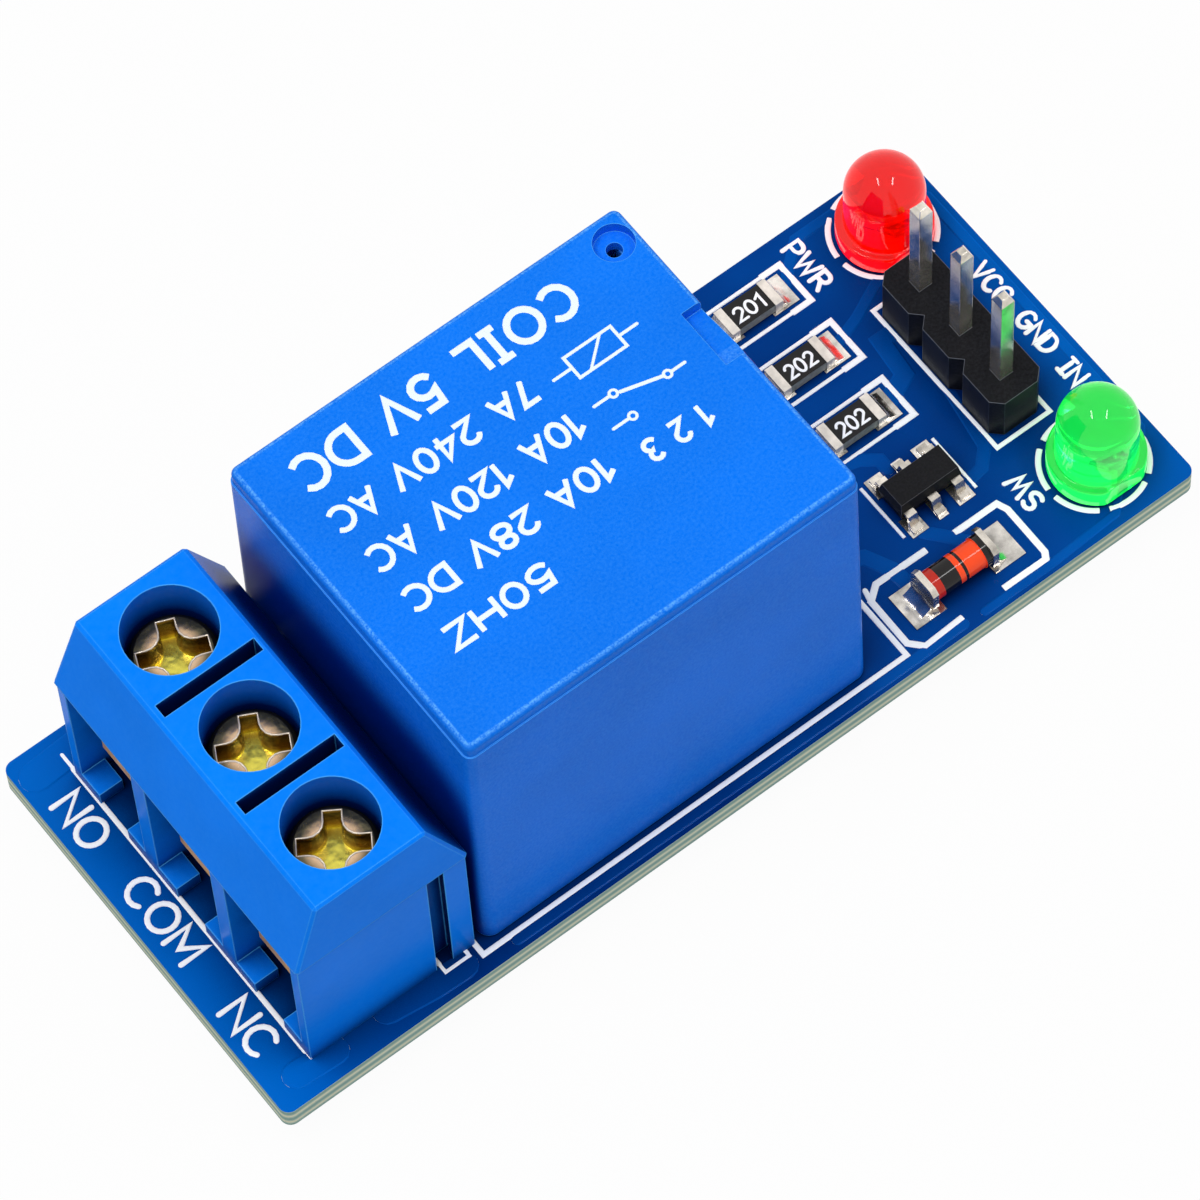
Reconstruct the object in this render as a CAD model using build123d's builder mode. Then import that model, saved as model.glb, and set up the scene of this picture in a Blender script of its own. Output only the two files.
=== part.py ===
"""Relay module board: a small circuit board that carries a cube relay, a
three-pole screw terminal block, a three-pin header, two indicator lamps and
the surface-mounted parts of the coil driver.

+X runs along the board, from the terminal block to the header. +Y runs
across it and +Z points up. The origin is under the middle of the board, at
the tips of the solder tails that the board stands on. Millimetres, degrees.
"""

import math
import os

from build123d import *

os.makedirs("parts", exist_ok=True)

# Circuit board
board_thickness = 1.2
board_corner_radius = 0.45
tail_drop = 2.0
board_bottom = tail_drop
board_top = board_bottom + board_thickness
tail_chamfer = 0.12

# Terminal block. Its heights are above the board's top face.
pole_count = 3
pole_pitch = 5.08
block_edge_distance = 5.95
block_y = -0.33
block_front = 3.8
block_rear = 4.0
entry_width = 4.2
end_wall = 0.52
rear_wall = 0.6
seam_height = 8.0
block_height = 11.7
hood_skirt = 0.1
hood_edge_chamfer = 0.12
roof_draft = 0.1
front_slope = 1.2
rear_slope = 1.5
ledge_height = 0.75
ledge_depth = 1.1
ledge_gap = 1.85
well_radius = 1.9
cage_top_clearance = 0.2
seat_thickness = 0.5
roof_slot_length = 4.55
roof_slot_width = 0.62
roof_slot_depth = 3.4
dovetail_inset = 1.42
dovetail_mouth = 0.76
dovetail_root = 1.1
dovetail_depth = 0.6
dovetail_clearance = 0.05

# Clamping screw, cage and fixed contact of each pole
screw_thread_pitch = 0.45
screw_turns = 4
screw_seat_clearance = 0.05
screw_head_radius = 1.72
screw_head_height = 2.1
screw_head_chamfer = 0.2
screw_shank_radius = 1.25
screw_shank_clearance = 0.2
recess_arm_span = 2.84
recess_arm_width = 0.74
recess_corner_radius = 0.62
recess_depth = 1.3
recess_taper = 5
recess_angle = -22
recess_angle_step = -5.5
cage_width = 3.8
cage_side = 0.5
cage_plate = 0.7
cage_bar = 0.65
cage_front_clearance = 0.1
cage_rear = 1.8
cage_edge_chamfer = 0.25
thread_clearance = 0.05
tab_top = 4.35
tab_thickness = 0.65
tab_front_reach = 0.5
contact_width = 2.4
contact_leg = 0.55
contact_foot_reach = 0.7
contact_wall_clearance = 0.05
contact_pin_width = 1.0
contact_pin_depth = 0.8
contact_side_clearance = 0.2
clamp_gap = 0.1
tip_clearance = 0.05
pocket_setback = 0.1

# Relay case
relay_block_gap = 0.55
relay_y = -0.6
relay_length = 18.3
relay_width = 15.0
relay_height = 15.9
relay_gap = 0.15
relay_wall = 0.8
relay_roof = 1.1
relay_draft = 0.18
relay_corner_radius = 0.4
relay_top_radius = 0.28
band_height = 0.75
band_inset = 0.06
vent_end_distance = 1.1
vent_side_distance = 1.33
vent_recess_radius = 0.83
vent_recess_depth = 0.57
vent_hole_radius = 0.33
notch_reach = 1.0
notch_length = 2.76
notch_middle = 0.78
notch_deep = 0.62
notch_shallow = 0.1
base_standoff = 0.5
base_thickness = 1.4
base_clearance = 0.05
base_foot_size = 1.4

# Relay coil and magnet
yoke_end_gap = 1.15
yoke_thickness = 1.2
yoke_bobbin_inset = 0.9
yoke_toe = 4.05
coil_share = 0.687
core_share = 0.404
core_spigot_radius = 1.2
pole_head_share = 0.66
pole_head_height = 0.55
bobbin_flange = 0.8
bobbin_wall = 0.6
bobbin_yoke_gap = 0.3
winding_inset = 0.35
coil_pin_size = 0.5
coil_pin_rise = 1.0
bobbin_lug = 1.6
bobbin_lug_overlap = 0.1
bobbin_lug_gap = 0.1

# Relay armature and contacts
armature_angle = 2.9
armature_gap = 0.05
armature_pivot_inset = 0.6
armature_thickness = 1.1
armature_yoke_inset = 0.6
armature_button_gap = 1.1
armature_heel = 0.35
blade_thickness = 0.25
blade_width = 4.4
blade_end = 1.1
blade_start = 1.6
rivet_radius = 0.6
rivet_height = 0.3
rivet_places = (3.6, 6.4)
contact_button_radius = 1.0
moving_button_below = 0.5
moving_button_above = 0.35
fixed_button_height = 0.3
contact_clearance = 0.05
contact_roof_clearance = 0.22
contact_strip = 0.4
contact_strip_width = 1.2
contact_side_gap = 0.1
contact_end_gap = 0.45
contact_button_offset = 1.1
contact_arm_reach = 1.2
contact_arm_depth = 2.4
relay_pin_width = 1.0
common_pin_width = 1.2
common_pin_thickness = 0.6
hinge_spring_thickness = 0.22
hinge_spring_width = 3.0
hinge_spring_drop = 6.0
hinge_spring_finger = 1.5
hinge_spring_clearance = 0.12

# Pin header
header_relay_distance = 11.65
header_edge_distance = 4.05
header_pitch = 2.54
header_pin_count = 3
header_block_height = 2.54
header_corner = 0.45
header_pin_size = 0.64
header_pin_height = 8.5
header_tail = 1.8
header_tip_chamfer = 0.3
header_tip_inset = 0.16

# Indicator lamps
lamp_header_offset = 1.2
power_lamp_edge = 2.55
power_lamp_header_gap = 2.54
switch_lamp_edge = 2.75
switch_lamp_header_gap = 3.24
lamp_radius = 1.66
lamp_flange_radius = 2.0
lamp_flange_height = 1.0
lamp_flat_distance = 1.76
lamp_height = 4.8
lamp_standoff = 0.15
lamp_lead_size = 0.5
lamp_lead_pitch = 2.54
lamp_tail = 1.5
lamp_anvil_height = 1.9
lamp_anvil_width = 1.25
lamp_post_height = 2.2
lamp_post_width = 0.7
lamp_cup_size = 0.9
lamp_cup_wall = 0.12
lamp_cup_depth = 0.35

# Surface-mounted parts. They stand on tinned pads.
pad_thickness = 0.05
resistor_relay_distance = 6.27
resistor_middle_y = 3.9
resistor_pitch = 3.3
resistor_count = 3
resistor_length = 2.55
resistor_width = 1.28
resistor_height = 0.58
resistor_cap_length = 0.38
resistor_cap_wall = 0.04
resistor_pad_length = 1.25
resistor_pad_width = 1.5
resistor_pad_span = 4.0
transistor_relay_distance = 6.7
transistor_y = -3.2
transistor_length = 3.0
transistor_width = 1.5
transistor_draft = 0.08
transistor_standoff = 0.08
transistor_height = 1.05
transistor_lead_pitch = 1.17
transistor_lead_width = 0.44
transistor_lead_thickness = 0.15
transistor_span = 2.9
transistor_foot = 0.42
transistor_pad_length = 0.95
transistor_pad_width = 0.8
transistor_middle_pad_width = 0.46
transistor_pad_span = 3.15
diode_relay_distance = 5.35
diode_y = -7.1
diode_length = 3.28
diode_cap_thickness = 0.28
diode_cap_size = 1.45
diode_cap_chamfer = 0.24
diode_glass_radius = 0.65
diode_collar_radius = 0.7
diode_collar_length = 0.28
diode_pad_length = 1.5
diode_pad_width = 1.8
diode_pad_span = 5.45
diode_pad_shift = 0.13
resistor_fillet_reach = 0.5
resistor_fillet_height = 0.42
diode_fillet_reach = 0.6
diode_fillet_height = 0.4
diode_fillet_width = 1.25
fillet_hollow = 0.36

# Drilled holes, and the solder under the board
hole_clearance = 0.08
solder_height = 0.75
solder_spread = 0.42
solder_neck = 0.1
solder_sides = 8

# Places across the board, from its +Y edge, and along it, from its -X edge
header_length = header_pin_count * header_pitch
power_lamp_reach = power_lamp_edge + power_lamp_header_gap
switch_lamp_reach = switch_lamp_edge + switch_lamp_header_gap
board_width = power_lamp_reach + header_length + switch_lamp_reach
header_y = (switch_lamp_reach - power_lamp_reach) / 2
relay_header_length = header_relay_distance + header_edge_distance
board_length = block_edge_distance + block_rear + relay_block_gap + relay_length + relay_header_length
block_x = block_edge_distance - board_length / 2
block_front_x = block_x - block_front
block_rear_x = block_x + block_rear
relay_start_x = block_rear_x + relay_block_gap
relay_end_x = relay_start_x + relay_length
relay_x = (relay_start_x + relay_end_x) / 2
resistor_x = relay_end_x + resistor_relay_distance
transistor_x = relay_end_x + transistor_relay_distance
diode_x = relay_end_x + diode_relay_distance
diode_pad_x = diode_x + diode_pad_shift
header_x = relay_end_x + header_relay_distance
lamp_x = header_x + lamp_header_offset
power_lamp_y = board_width / 2 - power_lamp_edge
switch_lamp_y = switch_lamp_edge - board_width / 2

# Terminal block
pole_places = [block_y + pole_pitch * ((pole_count - 1) / 2 - pole) for pole in range(pole_count)]
block_width = entry_width + (pole_count - 1) * pole_pitch + 2 * end_wall
block_length = block_front + block_rear
block_middle_x = (block_front_x + block_rear_x) / 2
chamber_front_x = block_front_x + ledge_depth
cage_front_x = chamber_front_x + cage_front_clearance
cage_rear_x = block_x + cage_rear
chamber_rear_x = cage_rear_x + pocket_setback
pocket_rear_x = block_rear_x - rear_wall
pocket_width = contact_width + 2 * contact_side_clearance
screw_travel = screw_thread_pitch * screw_turns
cage_bar_top = board_top + tab_top - tab_thickness - clamp_gap
cage_bottom = cage_bar_top - cage_bar
cage_window_top = board_top + tab_top + screw_travel + clamp_gap
cage_top = cage_window_top + cage_plate
chamber_top = cage_top + cage_top_clearance
well_floor = chamber_top + seat_thickness
well_depth = board_top + block_height - well_floor
screw_head_bottom = well_floor + screw_seat_clearance
screw_head_top = screw_head_bottom + screw_head_height
screw_tip = board_top + tab_top + tip_clearance

# Relay case and base
relay_bottom = board_top + relay_gap
relay_top = relay_bottom + relay_height
relay_side_y = relay_y + relay_width / 2
cavity_length = relay_length - 2 * relay_wall
cavity_width = relay_width - 2 * relay_wall
base_bottom = board_top + base_standoff
base_top = base_bottom + base_thickness

# Relay contacts, magnet and coil, from the roof of the case down and from its ends in
yoke_back_x = relay_end_x - relay_wall - yoke_end_gap
hinge_x = yoke_back_x - armature_pivot_inset
contact_pin_x = relay_start_x + relay_wall + contact_end_gap + contact_strip / 2
bobbin_end_x = yoke_back_x - yoke_thickness - bobbin_yoke_gap
bobbin_length = coil_share * (yoke_back_x - contact_pin_x - contact_strip / 2)
bobbin_start_x = bobbin_end_x - bobbin_length
bobbin_width = cavity_width - 2 * (bobbin_lug + bobbin_lug_gap - bobbin_lug_overlap)
core_x = (bobbin_start_x + bobbin_end_x) / 2
core_yoke_distance = yoke_back_x - core_x
yoke_width = bobbin_width - 2 * yoke_bobbin_inset
armature_width = yoke_width - 2 * armature_yoke_inset
common_pin_x = yoke_back_x - common_pin_thickness / 2
button_x = contact_pin_x + contact_button_offset
button_reach = hinge_x - button_x
button_lift = button_reach * math.sin(math.radians(armature_angle))
button_tilt = contact_button_radius * math.sin(math.radians(armature_angle))
closed_arm_bottom = relay_top - relay_roof - contact_roof_clearance - contact_strip
closed_button_bottom = closed_arm_bottom - fixed_button_height
moving_button_top = closed_button_bottom - contact_clearance - button_tilt
hinge_z = moving_button_top - moving_button_above - blade_thickness - armature_thickness - button_lift
open_button_top = hinge_z + armature_thickness - moving_button_below - contact_clearance
yoke_top = hinge_z - armature_gap
yoke_floor = base_top + yoke_thickness
armature_reach = button_reach - contact_button_radius - armature_button_gap
blade_reach = button_reach + blade_end
bobbin_top = yoke_top - pole_head_height
winding_radius = bobbin_length / 2 - winding_inset
core_radius = core_share * winding_radius
pole_head_radius = pole_head_share * winding_radius
relay_pin_y = cavity_width / 2 - contact_side_gap - contact_strip_width / 2
coil_pin_x = core_x + (bobbin_length - bobbin_lug) / 2
coil_pin_y = (bobbin_width + bobbin_lug) / 2 - bobbin_lug_overlap
armature_plane = Plane(
    origin=(hinge_x, relay_y, hinge_z),
    x_dir=(math.cos(math.radians(armature_angle)), 0, -math.sin(math.radians(armature_angle))),
    z_dir=(math.sin(math.radians(armature_angle)), 0, math.cos(math.radians(armature_angle))),
)

header_places = [
    header_y + header_pitch * ((header_pin_count - 1) / 2 - pin) for pin in range(header_pin_count)
]
lamp_places = {"power_lamp": power_lamp_y, "switch_lamp": switch_lamp_y}
resistor_places = [
    resistor_middle_y + resistor_pitch * ((resistor_count - 1) / 2 - place)
    for place in range(resistor_count)
]
part_floor = board_top + pad_thickness

# Rows of solder tails: size along X, size along Y, places
contact_tails = [(block_x, pole_y) for pole_y in pole_places]
strip_tails = [(contact_pin_x, relay_y + side * relay_pin_y) for side in (1, -1)]
coil_tails = [(coil_pin_x, relay_y + side * coil_pin_y) for side in (1, -1)]
common_tails = [(common_pin_x, relay_y)]
header_tails = [(header_x, pin_y) for pin_y in header_places]
lamp_tails = [
    (lamp_x, lamp_y + side * lamp_lead_pitch / 2)
    for lamp_y in lamp_places.values()
    for side in (1, -1)
]
tail_rows = [
    (contact_pin_depth, contact_pin_width, contact_tails),
    (contact_strip, relay_pin_width, strip_tails),
    (coil_pin_size, coil_pin_size, coil_tails),
    (common_pin_thickness, common_pin_width, common_tails),
    (header_pin_size, header_pin_size, header_tails),
    (lamp_lead_size, lamp_lead_size, lamp_tails),
]

# Circuit board, drilled for every solder tail
with BuildPart() as circuit_board:
    with BuildSketch(Plane.XY.offset(board_bottom)):
        RectangleRounded(board_length, board_width, board_corner_radius)
        for size_x, size_y, places in tail_rows:
            with Locations(*places):
                Circle(math.hypot(size_x, size_y) / 2 + hole_clearance, mode=Mode.SUBTRACT)
    extrude(amount=board_thickness)
circuit_board.part.label = "circuit_board"
export_step(circuit_board.part, "parts/circuit_board.step")

# Terminal housing: one moulding, a sloped hood over a straight base
with BuildPart() as terminal_housing:
    with BuildSketch(Plane.XY.offset(board_top + seam_height)):
        with Locations((block_middle_x, block_y)):
            Rectangle(block_length + 2 * hood_skirt, block_width + 2 * hood_skirt)
    with BuildSketch(Plane.XY.offset(board_top + block_height)):
        with Locations((block_middle_x + (front_slope - rear_slope) / 2, block_y)):
            Rectangle(block_length - front_slope - rear_slope, block_width - 2 * roof_draft)
    loft()
    hood_edges = terminal_housing.edges().filter_by_position(
        Axis.Z, board_top + seam_height, board_top + block_height, inclusive=(False, True)
    )
    chamfer(hood_edges, hood_edge_chamfer)
    with BuildSketch(Plane.XY.offset(board_top)):
        with Locations((block_middle_x, block_y)):
            Rectangle(block_length, block_width)
    extrude(amount=seam_height)
    # Dovetail groove on the -Y end, and the rib that fits it on the other
    dovetail_x = block_rear_x - dovetail_inset
    near_end_y = block_y - block_width / 2
    far_end_y = block_y + block_width / 2
    with BuildSketch(Plane.XY.offset(board_top)):
        Polygon(
            (dovetail_x - dovetail_mouth / 2, near_end_y),
            (dovetail_x + dovetail_mouth / 2, near_end_y),
            (dovetail_x + dovetail_root / 2, near_end_y + dovetail_depth),
            (dovetail_x - dovetail_root / 2, near_end_y + dovetail_depth),
            align=None,
        )
    extrude(amount=seam_height, mode=Mode.SUBTRACT)
    rib_mouth = dovetail_mouth - 2 * dovetail_clearance
    rib_root = dovetail_root - 2 * dovetail_clearance
    with BuildSketch(Plane.XY.offset(board_top)):
        Polygon(
            (dovetail_x - rib_mouth / 2, far_end_y),
            (dovetail_x - rib_root / 2, far_end_y + dovetail_depth - dovetail_clearance),
            (dovetail_x + rib_root / 2, far_end_y + dovetail_depth - dovetail_clearance),
            (dovetail_x + rib_mouth / 2, far_end_y),
            align=None,
        )
    extrude(amount=seam_height)
    # Cage chambers, open below, with a pocket behind for the contact's leg
    with BuildSketch(Plane.XY.offset(board_top)):
        with Locations(*[((chamber_front_x + chamber_rear_x) / 2, pole_y) for pole_y in pole_places]):
            Rectangle(chamber_rear_x - chamber_front_x, entry_width)
        with Locations(*[((chamber_rear_x + pocket_rear_x) / 2, pole_y) for pole_y in pole_places]):
            Rectangle(pocket_rear_x - chamber_rear_x, pocket_width)
        with Locations(*[(block_front_x + ledge_depth / 2, pole_y) for pole_y in pole_places]):
            Rectangle(ledge_depth, ledge_gap)
    extrude(amount=chamber_top - board_top, mode=Mode.SUBTRACT)
    # Wire entries above the two ledges of each pole
    with BuildSketch(Plane.XY.offset(board_top + ledge_height)):
        with Locations(*[(block_front_x + ledge_depth / 2, pole_y) for pole_y in pole_places]):
            Rectangle(ledge_depth, entry_width)
    extrude(amount=seam_height - ledge_height, mode=Mode.SUBTRACT)
    # Screw wells, with a smaller hole for the shank
    with Locations(*[(block_x, pole_y, board_top + block_height) for pole_y in pole_places]):
        CounterBoreHole(
            radius=screw_shank_radius + screw_shank_clearance,
            counter_bore_radius=well_radius,
            counter_bore_depth=well_depth,
            depth=well_depth + seat_thickness,
        )
    # Slots in the roof between the wells
    slot_places = [(first + second) / 2 for first, second in zip(pole_places, pole_places[1:])]
    with BuildSketch(Plane.XY.offset(board_top + block_height)):
        with Locations(*[(block_x, slot_y) for slot_y in slot_places]):
            Rectangle(roof_slot_length, roof_slot_width)
    extrude(amount=-roof_slot_depth, mode=Mode.SUBTRACT)
terminal_housing.part.label = "terminal_housing"
export_step(terminal_housing.part, "parts/terminal_housing.step")

for number, pole_y in enumerate(pole_places, start=1):
    # Clamping screw with a cross recess
    with BuildPart() as terminal_screw:
        with BuildSketch(Plane.XY.offset(screw_head_bottom)):
            with Locations((block_x, pole_y)):
                Circle(screw_head_radius)
        extrude(amount=screw_head_height)
        chamfer(terminal_screw.edges().group_by(Axis.Z)[-1], screw_head_chamfer)
        with BuildSketch(Plane.XY.offset(screw_head_top)) as recess:
            turned = recess_angle + recess_angle_step * (number - 1)
            with Locations(Location((block_x, pole_y, 0), (0, 0, turned))):
                Rectangle(recess_arm_span, recess_arm_width)
                Rectangle(recess_arm_width, recess_arm_span)
            inner_corners = recess.vertices().sort_by_distance((block_x, pole_y, screw_head_top))[:4]
            fillet(inner_corners, recess_corner_radius)
        extrude(amount=-recess_depth, taper=recess_taper, mode=Mode.SUBTRACT)
        with BuildSketch(Plane.XY.offset(screw_tip)):
            with Locations((block_x, pole_y)):
                Circle(screw_shank_radius)
        extrude(amount=screw_head_bottom - screw_tip)
    terminal_screw.part.label = f"terminal_screw_{number}"
    export_step(terminal_screw.part, f"parts/terminal_screw_{number}.step")

    # Rising cage: a square ring whose bar lifts the wire to the contact
    with BuildPart() as clamp_cage:
        with BuildSketch(Plane.YZ.offset(cage_front_x)) as cage_section:
            with Locations((pole_y, (cage_bottom + cage_top) / 2)):
                Rectangle(cage_width, cage_top - cage_bottom)
            chamfer(cage_section.vertices(), cage_edge_chamfer)
            with Locations((pole_y, (cage_bar_top + cage_window_top) / 2)):
                Rectangle(cage_width - 2 * cage_side, cage_window_top - cage_bar_top, mode=Mode.SUBTRACT)
        extrude(amount=cage_rear_x - cage_front_x)
        with Locations((block_x, pole_y, cage_top)):
            Hole(screw_shank_radius + thread_clearance, depth=cage_plate)
    clamp_cage.part.label = f"clamp_cage_{number}"
    export_step(clamp_cage.part, f"parts/clamp_cage_{number}.step")

    # Fixed contact: tab through the cage, leg behind it, foot and pin
    with BuildPart() as terminal_contact:
        contact_back_x = pocket_rear_x - contact_wall_clearance
        tab_front_x = cage_front_x - tab_front_reach
        foot_front_x = block_x - contact_pin_depth / 2 - contact_foot_reach
        with BuildSketch(Plane.XZ.offset(-pole_y)):
            with Locations((contact_back_x, board_top + tab_top)):
                Rectangle(contact_back_x - tab_front_x, tab_thickness, align=(Align.MAX, Align.MAX))
                Rectangle(contact_leg, tab_top, align=(Align.MAX, Align.MAX))
            with Locations((contact_back_x, board_top)):
                Rectangle(contact_back_x - foot_front_x, contact_leg, align=(Align.MAX, Align.MIN))
        extrude(amount=contact_width / 2, both=True)
        with BuildSketch(Plane.XY):
            with Locations((block_x, pole_y)):
                Rectangle(contact_pin_depth, contact_pin_width)
        extrude(amount=board_top)
        chamfer(terminal_contact.edges().group_by(Axis.Z)[0], tail_chamfer)
    terminal_contact.part.label = f"terminal_contact_{number}"
    export_step(terminal_contact.part, f"parts/terminal_contact_{number}.step")

# Relay cover: a thin cube, a little wider below and open there, with a vent and a ramped notch
with BuildPart() as relay_cover:
    for level, draft in ((relay_bottom, relay_draft), (relay_top - band_height, 0)):
        with BuildSketch(Plane.XY.offset(level)):
            with Locations((relay_x, relay_y)):
                RectangleRounded(
                    relay_length + 2 * draft, relay_width + 2 * draft, relay_corner_radius + draft
                )
    loft(ruled=True)
    with BuildSketch(Plane.XY.offset(relay_top - band_height)):
        with Locations((relay_x, relay_y)):
            RectangleRounded(
                relay_length - 2 * band_inset,
                relay_width - 2 * band_inset,
                relay_corner_radius - band_inset,
            )
    extrude(amount=band_height)
    fillet(relay_cover.edges().group_by(Axis.Z)[-1], relay_top_radius)
    with BuildSketch(Plane.XY.offset(relay_bottom)):
        with Locations((relay_x, relay_y)):
            Rectangle(cavity_length, cavity_width)
    extrude(amount=relay_height - relay_roof, mode=Mode.SUBTRACT)
    with Locations((relay_end_x - vent_end_distance, relay_side_y - vent_side_distance, relay_top)):
        CounterBoreHole(
            radius=vent_hole_radius,
            counter_bore_radius=vent_recess_radius,
            counter_bore_depth=vent_recess_depth,
            depth=relay_roof,
        )
    notch_y = relay_y + notch_middle
    with BuildSketch(Plane.YZ.offset(relay_end_x - notch_reach)):
        Polygon(
            (notch_y + notch_length / 2, relay_top),
            (notch_y + notch_length / 2, relay_top - notch_deep),
            (notch_y - notch_length / 2, relay_top - notch_shallow),
            (notch_y - notch_length / 2, relay_top),
            align=None,
        )
    extrude(amount=notch_reach, mode=Mode.SUBTRACT)
relay_cover.part.label = "relay_cover"
export_step(relay_cover.part, "parts/relay_cover.step")

# Relay base: the plate that closes the cover and holds the pins
with BuildPart() as relay_base:
    with BuildSketch(Plane.XY.offset(base_bottom)):
        with Locations((relay_x, relay_y)):
            Rectangle(cavity_length - 2 * base_clearance, cavity_width - 2 * base_clearance)
    extrude(amount=base_thickness)
    foot_span_x = cavity_length - 2 * base_clearance - base_foot_size
    foot_span_y = cavity_width - 2 * base_clearance - base_foot_size
    with BuildSketch(Plane.XY.offset(board_top)):
        with Locations((relay_x, relay_y)):
            with GridLocations(foot_span_x, foot_span_y / 2, 2, 2):
                Rectangle(base_foot_size, base_foot_size)
    extrude(amount=base_standoff)
    with BuildSketch(Plane.XY.offset(board_top)):
        for size_x, size_y, places in tail_rows:
            if places in (strip_tails, coil_tails, common_tails):
                with Locations(*places):
                    Rectangle(size_x, size_y)
    extrude(amount=base_standoff + base_thickness, mode=Mode.SUBTRACT)
relay_base.part.label = "relay_base"
export_step(relay_base.part, "parts/relay_base.step")

# Yoke: an L of soft iron, with the common pin as its tail
with BuildPart() as yoke:
    with BuildSketch(Plane.XZ.offset(-relay_y)):
        with Locations((yoke_back_x, base_top)):
            Rectangle(yoke_thickness, yoke_top - base_top, align=(Align.MAX, Align.MIN))
            Rectangle(core_yoke_distance + yoke_toe, yoke_thickness, align=(Align.MAX, Align.MIN))
    extrude(amount=yoke_width / 2, both=True)
    with BuildSketch(Plane.XY.offset(base_top)):
        with Locations((core_x, relay_y)):
            Circle(core_spigot_radius)
    extrude(amount=yoke_thickness, mode=Mode.SUBTRACT)
    with BuildSketch(Plane.XY):
        with Locations(*common_tails):
            Rectangle(common_pin_thickness, common_pin_width)
    extrude(amount=base_top)
    chamfer(yoke.edges().group_by(Axis.Z)[0], tail_chamfer)
yoke.part.label = "yoke"
export_step(yoke.part, "parts/yoke.step")

# Core: the iron rod through the coil, riveted to the yoke
with BuildPart() as coil_core:
    with BuildSketch(Plane.XY.offset(base_top)):
        with Locations((core_x, relay_y)):
            Circle(core_spigot_radius)
    extrude(amount=yoke_thickness)
    with BuildSketch(Plane.XY.offset(yoke_floor)):
        with Locations((core_x, relay_y)):
            Circle(core_radius)
    extrude(amount=bobbin_top - yoke_floor)
    with BuildSketch(Plane.XY.offset(bobbin_top)):
        with Locations((core_x, relay_y)):
            Circle(pole_head_radius)
    extrude(amount=pole_head_height)
coil_core.part.label = "coil_core"
export_step(coil_core.part, "parts/coil_core.step")

# Bobbin: a tube between two flanges, with a lug for each coil pin
with BuildPart() as coil_bobbin:
    with BuildSketch(Plane.XY.offset(yoke_floor)):
        with Locations((core_x, relay_y)):
            Rectangle(bobbin_length, bobbin_width)
        with Locations(*coil_tails):
            Rectangle(bobbin_lug, bobbin_lug)
            Rectangle(coil_pin_size, coil_pin_size, mode=Mode.SUBTRACT)
    extrude(amount=bobbin_flange)
    with BuildSketch(Plane.XY.offset(bobbin_top - bobbin_flange)):
        with Locations((core_x, relay_y)):
            Rectangle(bobbin_length, bobbin_width)
    extrude(amount=bobbin_flange)
    with BuildSketch(Plane.XY.offset(yoke_floor)):
        with Locations((core_x, relay_y)):
            Circle(core_radius + bobbin_wall)
    extrude(amount=bobbin_top - yoke_floor)
    with BuildSketch(Plane.XY.offset(yoke_floor)):
        with Locations((core_x, relay_y)):
            Circle(core_radius)
    extrude(amount=bobbin_top - yoke_floor, mode=Mode.SUBTRACT)
coil_bobbin.part.label = "coil_bobbin"
export_step(coil_bobbin.part, "parts/coil_bobbin.step")

# Winding: the copper between the flanges
with BuildPart() as coil_winding:
    with BuildSketch(Plane.XY.offset(yoke_floor + bobbin_flange)):
        with Locations((core_x, relay_y)):
            Circle(winding_radius)
            Circle(core_radius + bobbin_wall, mode=Mode.SUBTRACT)
    extrude(amount=bobbin_top - yoke_floor - 2 * bobbin_flange)
coil_winding.part.label = "coil_winding"
export_step(coil_winding.part, "parts/coil_winding.step")

# Coil pins, one each side
for number, coil_place in enumerate(coil_tails, start=1):
    with BuildPart() as coil_pin:
        with BuildSketch(Plane.XY):
            with Locations(coil_place):
                Rectangle(coil_pin_size, coil_pin_size)
        extrude(amount=yoke_floor + bobbin_flange + coil_pin_rise)
        chamfer(coil_pin.edges().group_by(Axis.Z)[0], tail_chamfer)
    coil_pin.part.label = f"coil_pin_{number}"
    export_step(coil_pin.part, f"parts/coil_pin_{number}.step")

# Armature: the iron flap, tilted up from the pole while the coil is off
with BuildPart() as armature:
    with BuildSketch(armature_plane):
        Rectangle(armature_reach, armature_width, align=(Align.MAX, Align.CENTER))
        Rectangle(armature_heel, armature_width, align=(Align.MIN, Align.CENTER))
    extrude(amount=armature_thickness)
    with BuildSketch(armature_plane):
        with Locations(*[(-rivet_x, 0) for rivet_x in rivet_places]):
            Circle(rivet_radius)
    extrude(amount=armature_thickness + blade_thickness + rivet_height)
armature.part.label = "armature"
export_step(armature.part, "parts/armature.step")

# Contact blade: the spring strip with the moving button at its end
with BuildPart() as contact_blade:
    with BuildSketch(armature_plane.offset(armature_thickness)):
        with Locations((-blade_start, 0)):
            Rectangle(blade_reach - blade_start, blade_width, align=(Align.MAX, Align.CENTER))
        with Locations(*[(-rivet_x, 0) for rivet_x in rivet_places]):
            Circle(rivet_radius, mode=Mode.SUBTRACT)
    extrude(amount=blade_thickness)
    with BuildSketch(armature_plane.offset(armature_thickness - moving_button_below)):
        with Locations((-button_reach, 0)):
            Circle(contact_button_radius)
    extrude(amount=moving_button_below + blade_thickness + moving_button_above)
contact_blade.part.label = "contact_blade"
export_step(contact_blade.part, "parts/contact_blade.step")

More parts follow.
